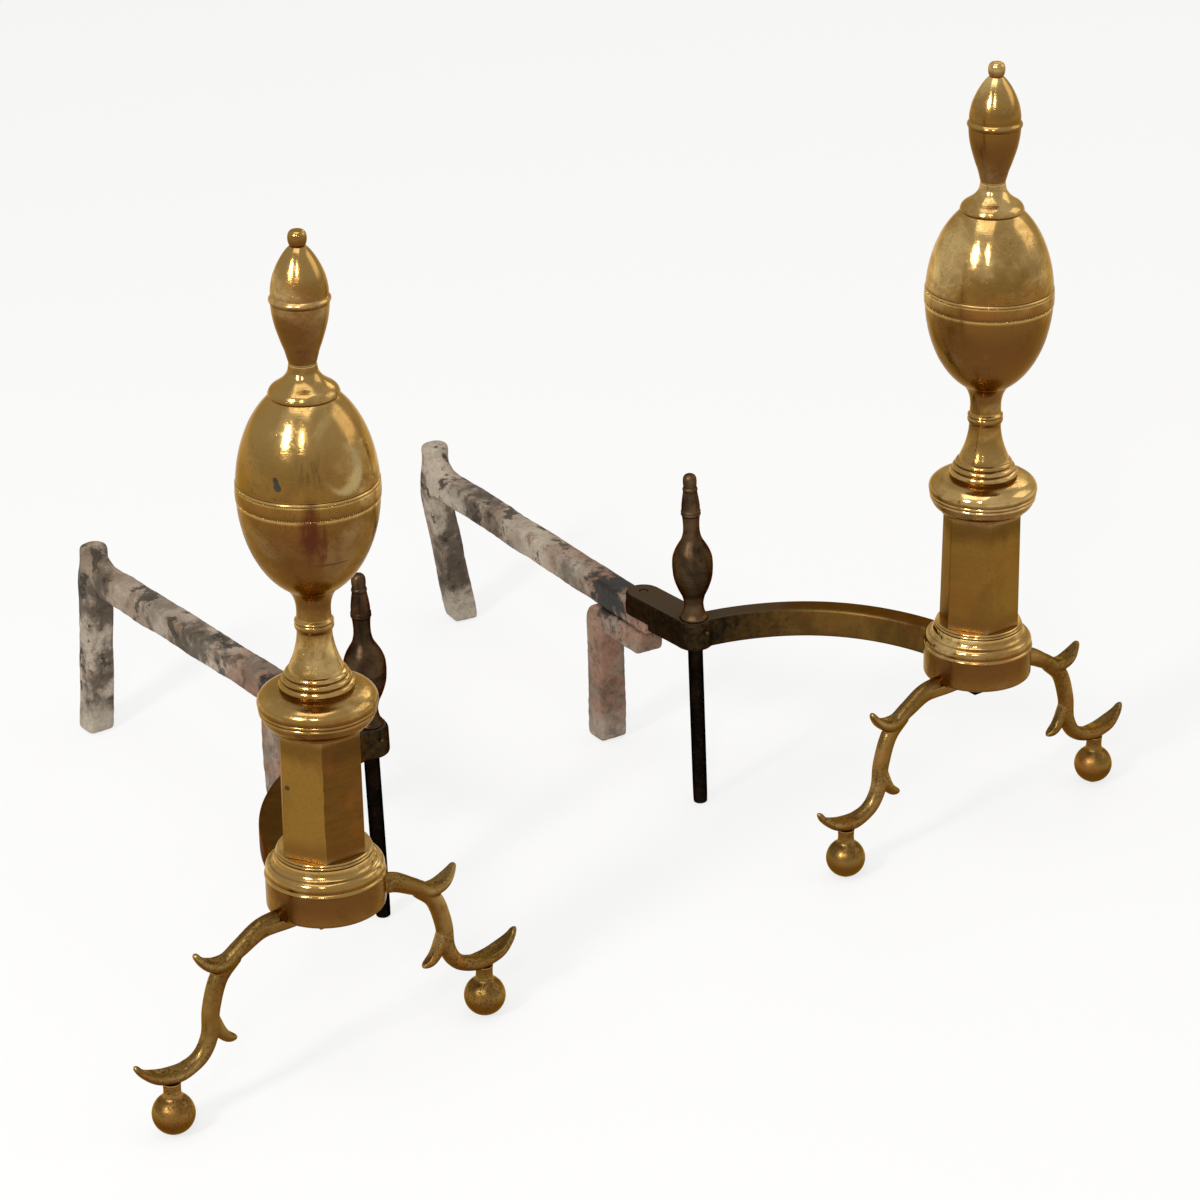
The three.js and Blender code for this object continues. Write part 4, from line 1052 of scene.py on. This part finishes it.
ankle_spur = limb(
    knots_in_plane((86.6, 68.6), (81.5, 59), (76.8, 53.4), (69.8, 50.2)), y_axis,
    lambda t: (5.2 - 2.4 * t) * blunt_end(t), lambda t: (4.7 - 0.9 * t) * blunt_end(t), 30)
root = slab((10, -5.5, drum_foot - 7.2), (46, 5.5, drum_foot - 0.2))
seat_cut = column_of(37.5, drum_foot - 0.2, drum_foot + 40)
leg_shape = melted(together(shoulder, shank, ankle_spur, root), 0.62, 6)
leg_shape = dished(leg_shape, shoulder_knots, 0.62, 1.7, 5.2)
leg_shape = cut_by(dished(leg_shape, shank_knots, 0.66, 2.2, 5.8), seat_cut)
print("leg:", len(leg_shape[0]), "points")

ball = Profile(0, 0).cut((3.6, 0))
ball.cut(*[(13.6 * math.cos(a), 13.6 + 13.6 * math.sin(a)) for a in np.linspace(-1.26, 1.02, 30)])
ball.through((6.3, 26.2), (5.7, 28), (5.5, 30.4), (5.6, 33.0), (5.8, 35.6)).cut((5.4, 35.8), (0, 35.8))
ball_shape = lathe(ball, 72)

foot_reach = 117.5
for side in sides:
    for which, way in (("outer", 1), ("inner", -1)):
        leg = (leg_shape[0] * (way, way, 1), leg_shape[1])
        dress(side, f"{which}_leg", "cast", leg, brass_cast, 50)
        foot = (ball_shape[0] + (foot_reach * way, 0, 0), ball_shape[1])
        dress(side, f"{which}_ball_foot", "turned", foot, brass_cast, 40)
print("legs and ball feet:", 8)

# %% [markdown]
# ## The arm, the log stop and its rod
# The arm is a flat brass bar, bent inwards and back to a round boss, and it runs on behind the boss
# as a lug that laps the iron. On top of the boss stands the log stop, a small turned echo of the
# column, screwed to an iron rod that passes through the boss to the floor. Neither rod stands
# plumb: each pair of stop and rod leans about two degrees, so they are drawn upright and leant.

# %% Arms
stop_x, stop_y, boss_low, boss_high = -133.0, 149.0, 126.0, 147.0
mid_arm = (boss_low + boss_high) / 2
leans = {"right": -2.2, "left": 2.2}


def leant(shape, side):
    """Moves a shape drawn about the upright axis to the boss, and leans it about the boss."""
    lean = math.radians(leans[side])
    x, y, z = np.asarray(shape[0], float).T
    rise = z - mid_arm
    return np.column_stack([
        stop_x + x * math.cos(lean) + rise * math.sin(lean), stop_y + y,
        mid_arm - x * math.sin(lean) + rise * math.cos(lean),
    ]), shape[1]


def bezier(p0, p1, p2, p3, count=9):
    return [tuple((1 - t) ** 3 * np.array(p0) + 3 * t * (1 - t) ** 2 * np.array(p1)
                  + 3 * t * t * (1 - t) * np.array(p2) + t ** 3 * np.array(p3))
            for t in np.linspace(0, 1, count)]


arm_roots = {"right": -7.0, "left": 10.0}
lug_half, lug_back, rivet_way = 12.5, 208.5, 3.15
boss = Profile(0, boss_low).cut((11.6, boss_low), (12.8, 127.4), (12.8, 143.4))
boss = lathe(boss.bow((12.8, boss_high), (9.2, boss_high)).cut((0, boss_high)), 64)
lug_outline = [(stop_x - lug_half, stop_y), (stop_x + lug_half, stop_y), (stop_x + lug_half, lug_back)]
lug_outline += [(stop_x + lug_half * math.cos(a), lug_back + lug_half * math.sin(a))
                for a in np.linspace(0, math.pi, 24)[1:]]
count = len(lug_outline)
lug = ([(x, y, z) for z in (boss_low, boss_high) for x, y in lug_outline],
       [tuple(range(count))[::-1], tuple(range(count, 2 * count))]
       + [(i, (i + 1) % count, (i + 1) % count + count, i + count) for i in range(count)])
drum_seat, rivet_hole = column_of(37.6, 100, 170), column_of(rivet_way, 100, 160, stop_x, 208, 32)
lap_seat = slab((stop_x - 30, 187, 100), (stop_x + 30, 240, 131))
rod_way = column_of(5.6, 100, 160, segments=32)
foot_seat = column_of(10.2, boss_high, 160, segments=48)
arm_sizes = []
for side in sides:
    out = arm_roots[side]
    arm_line = bezier((out, 27.3, mid_arm), (out - 12, 90.9, mid_arm), (-56.5, 134.8, mid_arm),
                      (stop_x, stop_y, mid_arm))
    bend = limb(arm_line, z_axis, lambda t: 8.7, lambda t: 10.6, 60, 28, 9)
    arm = melted(together(bend, leant(boss, side), lug), 0.85, 9)
    arm = cut_by(arm, drum_seat, lap_seat, leant(rod_way, side), leant(foot_seat, side), rivet_hole)
    dress(side, "curved_arm", "cast", arm, brass_arm, 40)
    arm_sizes.append(len(arm[0]))
print("arms:", arm_sizes)

# %% Log stops, rods and pins
stop = Profile(0, 31).cut((5.6, 31), (5.6, 0), (9.6, 0)).bow((10.2, 1.0), (9.5, 2.2), 5)
stop.bow((6.9, 4.6), (6.8, 12), 7).through((8.1, 17.5), (10.6, 22.8), (12.6, 28.2), (13.35, 30.9))
stop.cut((13.25, 31.2), (13.5, 31.6), (13.7, 32.8), (13.6, 33.1), (13.85, 33.4))
stop.through((14.1, 36.2), (14.25, 38.8)).cut((14.15, 39.1), (14.3, 39.4))
stop.through((14.35, 42), (13.9, 47.5), (12.1, 52.8), (9.8, 57), (8.0, 60), (6.9, 62.5), (6.0, 66.5),
             (5.75, 70.7), (5.9, 75), (6.3, 79))
stop.bow((7.5, 80.2), (6.7, 81.5), 4).bow((7.3, 82.6), (6.5, 83.6), 4)
stop.through((6.4, 87), (5.8, 92), (4.9, 97.6)).cut((5.2, 98.2)).bow((5.5, 99.2), (5.0, 100.2), 4)
stop.cut((4.5, 100.6)).through((4.75, 102.6), (4.85, 105.4), (4.4, 108.2), (2.8, 110.0), (0, 110.5))
rod = Profile(0, 0).cut((3.3, 0)).through((4.6, 0.7), (5.0, 3), (5.2, 20), (5.3, 88), (5.3, 177))
rod.cut((0, 177))
pin = Profile(0, 0).cut((0.9, 0.1), (1.4, 0.5), (1.5, 1.0), (1.5, 12.5), (1.2, 13), (0, 13))

stop_points, stop_faces = lathe(stop, 72)
pin_points, pin_faces = lathe(pin, 24)
pin_lying = (pin_points[:, [0, 2, 1]] + (0, -15.3, 140), [f[::-1] for f in pin_faces])
stop_foot = 147.2
for side in sides:
    for part, shape, metal, slot in (
        ("log_stop", (stop_points + (0, 0, stop_foot), stop_faces), brass_smoked, "smoked_brass"),
        ("stop_rod", lathe(rod, 40), iron_black, "black_iron"),
        ("stop_pin", pin_lying, brass_smoked, "black_iron"),
    ):
        dress(side, part, "fine", leant(shape, side), metal)
print("log stops, rods and pins:", 6)

# %% [markdown]
# ## The forged irons
# The log bar is a square billet. Its front end is thinned and lapped under the brass lug, and its
# rear end is welded to an upright with no visible seam, so bar and upright are melted into one
# skin here. The front leg is a second bar bent over at the top, and its head runs forward under
# the lug. Each iron is an outline in the upright plane of the bar, drawn out sideways to the bar's
# width. A hammer leaves broad shallow facets and fire leaves scale, so the melted skin is moved in
# and out a little by two sizes of noise.

# %% Irons
iron_turns = {"right": 6.4, "left": -1.0}
front_splays = {"right": (10.5, 15.0), "left": (-6.0, 8.0)}
rear_splays = {"right": 20.0, "left": 7.5}
rear_tops = {"right": 153.0, "left": 149.0}
hammer_seeds = {"right": (8.0, 11.0), "left": (3.0, 5.0)}
rivet_back, bar_front, bar_end, rear_front, rear_end = 208.0, -18.0, 304.55, 304.75, 325.25
bar_high, bar_fall, bar_size = 140.5, 6.0, 20.5
front_face, back_face, head_reach, head_thick = 44.0, 66.0, 11.0, 19.0
upright_half, upright_deep = 10.75, 10.2


def bar_top(back):
    return bar_high - bar_fall * (back - bar_front) / (rear_front - bar_front)


def beside_rivet(shape, side):
    """Moves a shape drawn about the rivet to its place, turned with its iron."""
    turn = math.radians(iron_turns[side])
    x, y, z = np.asarray(shape[0], float).T
    return np.column_stack([
        stop_x + x * math.cos(turn) + y * math.sin(turn),
        rivet_back - x * math.sin(turn) + y * math.cos(turn), z,
    ]), shape[1]


def drawn_out(outline, half_width, bevel):
    """A bevelled bar from a profile of (back, height) strokes, half_width to each side."""
    count = len(outline)
    points = [(x, y, z) for x in (-half_width, half_width) for y, z in outline]
    faces = [tuple(range(count)), tuple(range(2 * count - 1, count - 1, -1))]
    faces += [(i, i + count, (i + 1) % count + count, (i + 1) % count) for i in range(count)]
    softened = {"width": bevel, "segments": 2, "limit_method": "ANGLE"}
    return worked((points, faces), ("BEVEL", softened))


def splayed(shape, top, out, behind=0.0):
    """Spreads the foot of an upright, outwards and backwards, and leaves what is above top."""
    share = np.clip(1 - shape[0][:, 2] / top, 0, 1)
    return shape[0] + np.outer(share, (out, behind, 0)), shape[1]


def rounded_head(shape, top, middle, height=34.0):
    """Rounds the corners of an upright's section towards its head, where the hammer fell most."""
    x, y, z = shape[0].T
    u, v = x / upright_half, (y - middle) / upright_deep
    square, circle = np.maximum(np.abs(u), np.abs(v)), np.maximum(np.hypot(u, v), 1e-6)
    share = np.clip((z - top + height) / (height - 6), 0, 1) * (np.abs(y - middle) < 13)
    scale = 1 - 0.8 * share * share * (3 - 2 * share) * (1 - square / circle)
    return np.column_stack([x * scale, middle + (y - middle) * scale, z]), shape[1]


def hammered(shape, broad, fine, seed):
    """Moves a skin along its normals by two sizes of noise, nearly all inwards."""
    mesh = bpy.data.meshes.new("hammered")
    mesh.from_pydata(shape[0].tolist(), [], shape[1])
    normals = np.empty(len(mesh.vertices) * 3)
    mesh.vertex_normals.foreach_get("vector", normals)
    depth = np.array([
        broad * (noise.noise(Vector(p) * 0.033 + Vector((seed, 0, 0))) - 0.3)
        + fine * (noise.noise(Vector(p) * 0.17 + Vector((0, seed, 0))) - 0.3) for p in shape[0]])
    return shape[0] + normals.reshape(-1, 3) * depth[:, None], shape[1]


x_axis = (1, 0, 0)
for side in sides:
    top = rear_tops[side]
    bar_side = Profile(bar_front, bar_top(bar_front) - bar_size).cut(
        (bar_end + 4, bar_top(bar_end) - bar_size), (bar_end + 4, bar_top(bar_end)),
        (bar_front, bar_top(bar_front)))
    leg_side = Profile(rear_front, 0).cut((rear_end - 0.3, 0), (rear_end - 0.3, top - 3))
    leg_side.bow((rear_end - 0.3, top), (rear_end - 4, top), 4).cut((rear_front + 4, top))
    leg_side.bow((rear_front, top), (rear_front, top - 3), 4)
    bar = drawn_out(bar_side.points, bar_size / 2, 2.6)
    upright = worked(drawn_out(leg_side.points, upright_half, 3.4), new_skin(1.6))
    upright = rounded_head(upright, top, (rear_front + rear_end) / 2)
    upright = splayed(upright, 110, rear_splays[side])
    fillet = limb([(0, 280, bar_top(280) - 5), (0, 296, bar_top(296) - 2), (0, 308, bar_top(308) + 4)],
                  x_axis, lambda t: 4.6 + 2.4 * t, lambda t: 7.5, 16, 16, 3)
    lap = slab((-20, bar_front - 6, 130.8), (20, 0.6, 170))
    lug_seat = column_of(13.1, 130.8, 170, 0, 0.6, 64)
    skin = melted(together(bar, upright, fillet), 1.15, 8)
    skin = cut_by(hammered(skin, 0.9, 0.3, hammer_seeds[side][0]), lap, lug_seat)
    names = [f"{side}_billet_bar", f"{side}_rear_leg"]
    welded = side_mesh(names[0], *beside_rivet(skin, side), side)
    link_piece(f"{side}_welded_bar", welded, iron_forged, names, 60)

    head_top = bar_top(-head_reach) - bar_size - 0.2
    elbow_top, head_foot = bar_top(back_face) - bar_size - 0.2, head_top - head_thick
    bent = Profile(front_face + 2, 0).cut((back_face - 2, 0), (back_face, 3), (back_face, elbow_top - 18))
    bent.bow((back_face, elbow_top), (back_face - 18, elbow_top), 10)
    bent.cut((2 - head_reach, head_top), (-head_reach, head_top - 2), (-head_reach, head_foot + 7))
    bent.bow((-head_reach, head_foot), (7 - head_reach, head_foot), 5).cut((front_face - 10, head_foot - 1))
    bent.bow((front_face, head_foot - 1), (front_face, head_foot - 12), 6).cut((front_face, 3))
    skin = splayed(drawn_out(bent.points, 11, 6.2), head_foot - 10, *front_splays[side])
    skin = hammered(melted(skin, 1.1, 18), 0.9, 0.3, hammer_seeds[side][1])
    dress(side, "front_leg", "forged", beside_rivet(skin, side), iron_forged, 60)

    foot = foot_of(f"{side}_bar_rivet")
    rivet = Profile(0, foot + 3).cut((2.6, foot + 3), (3.1, foot + 4), (3.1, 146.2))
    rivet = lathe(rivet.bow((3.0, 146.9), (0, boss_high)), 24)
    dress(side, "bar_rivet", "headed", beside_rivet(rivet, side), brass_arm)
print("irons:", 6)

# %% [markdown]
# ## What clamps the column
# Under each drum the roots of the legs are held by a square plate and a nut on the rod that runs up
# inside the whole column. They are seen only from below, so bevelled blocks with a hole are enough.

# %% Plates, nuts and tie rods
for side in sides:
    for node, half_side, worn_off in (("clamp_plate", 14, 0), ("tie_nut", 7.5, 2.2)):
        name = f"{side}_{node}"
        low, high = foot_of(name) + worn_off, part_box(name)[1][2] * 1000
        block = worked(slab((-half_side, -half_side, low), (half_side, half_side, high)),
                       ("BEVEL", {"width": 0.8, "segments": 3}))
        block = cut_by(block, column_of(bore, low - 2, high + 2, segments=32))
        dress(side, node, "filed", block, iron_black, 30)
    name = f"{side}_tie_rod"
    low, high = foot_of(name) + 3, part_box(name)[1][2] * 1000
    threaded = Profile(0, low).cut((3.2, low), (3.9, low + 0.7))
    threaded.cut(*[(3.5 + 0.45 * (k % 2), low + 1.2 + 0.6 * k) for k in range(26)])
    threaded.cut((4, low + 18), (4, high), (0, high))
    dress(side, "tie_rod", "threaded", lathe(threaded, 32), iron_black)
print("clamping pieces:", 6)

# %% [markdown]
# ## Floor and light
# The floor is plain and pale, and fills the view behind the andirons. Polished brass shows whatever
# stands round it, so the surround is a plain soft grey, and the lamps are small and soft: two side
# by side on the left for the pair of long highlights, a broad weak one on the right, one behind on
# the right that draws the edges, and a broad one overhead. Camera, mirror and glass rays see the
# floor part way towards plain white, which keeps the background clean without more light, and
# leaves the andirons their shadows.

# %% Floor, lamps and surround
floor_mesh = bpy.data.meshes.new("floor")
reach = 8
corners = [(-reach, -reach, 0), (reach, -reach, 0), (reach, reach, 0), (-reach, reach, 0)]
floor_mesh.from_pydata(corners, [], [(0, 1, 2, 3)])
floor = in_scene("floor", floor_mesh)
floor_paint = bpy.data.materials.new("floor_paint")
floor_paint.use_nodes = True
floor_tree = floor_paint.node_tree
paint = floor_tree.nodes["Principled BSDF"]
paint.inputs["Base Color"].default_value = (0.80, 0.80, 0.80, 1)
paint.inputs["Roughness"].default_value = 0.9
paint.inputs["Specular IOR Level"].default_value = 0.1
graph = Value(floor_tree)
ray_kinds = ("Camera", "Glossy", "Transmission")
by_camera, by_mirror, by_glass = (
    graph.node("ShaderNodeLightPath", output=f"Is {kind} Ray") for kind in ray_kinds)
share_of_white = 0.75
lifted = (by_camera + by_mirror + by_glass).clamped() * share_of_white
white = graph.node("ShaderNodeEmission", {}, {"Color": (1, 1, 1, 1), "Strength": 1.0})
blend = graph.node("ShaderNodeMixShader", {}, {0: lifted, 1: Value(floor_tree, paint.outputs[0]), 2: white})
floor_tree.links.new(blend.socket, floor_tree.nodes["Material Output"].inputs["Surface"])
floor_mesh.materials.append(floor_paint)


def lamp(name, place, aim, size, power, colour=(1, 1, 1)):
    data = bpy.data.lights.new(name, "AREA")
    data.shape, data.size, data.size_y = "RECTANGLE", size[0], size[1]
    data.energy, data.color = power, colour
    holder = in_scene(name, data)
    holder.location = place
    holder.rotation_mode = "QUATERNION"
    holder.rotation_quaternion = (Vector(aim) - Vector(place)).to_track_quat("-Z", "Y")


middle = Vector((0, 0, 0.25))
lamp("key", (-2.7, -0.9, 2.1), middle, (0.42, 0.75), 56, (1.0, 0.98, 0.94))
lamp("second", (-2.05, -2.3, 2.4), middle, (0.26, 0.65), 20, (1.0, 0.98, 0.94))
lamp("fill", (2.6, -1.3, 1.9), middle, (1.8, 1.8), 10, (1.0, 0.93, 0.82))
lamp("edge", (2.7, 1.5, 2.2), middle, (1.6, 0.8), 8, (1.0, 0.96, 0.90))
lamp("top", (-0.5, -0.3, 3.0), middle, (1.8, 1.8), 18)

world = bpy.data.worlds.new("surround")
bpy.context.scene.world = world
world.use_nodes = True
sky = world.node_tree.nodes["Background"]
sky.inputs["Color"].default_value = (0.95, 0.93, 0.90, 1)
sky.inputs["Strength"].default_value = 0.62
bpy.context.scene.view_settings.view_transform = "Standard"
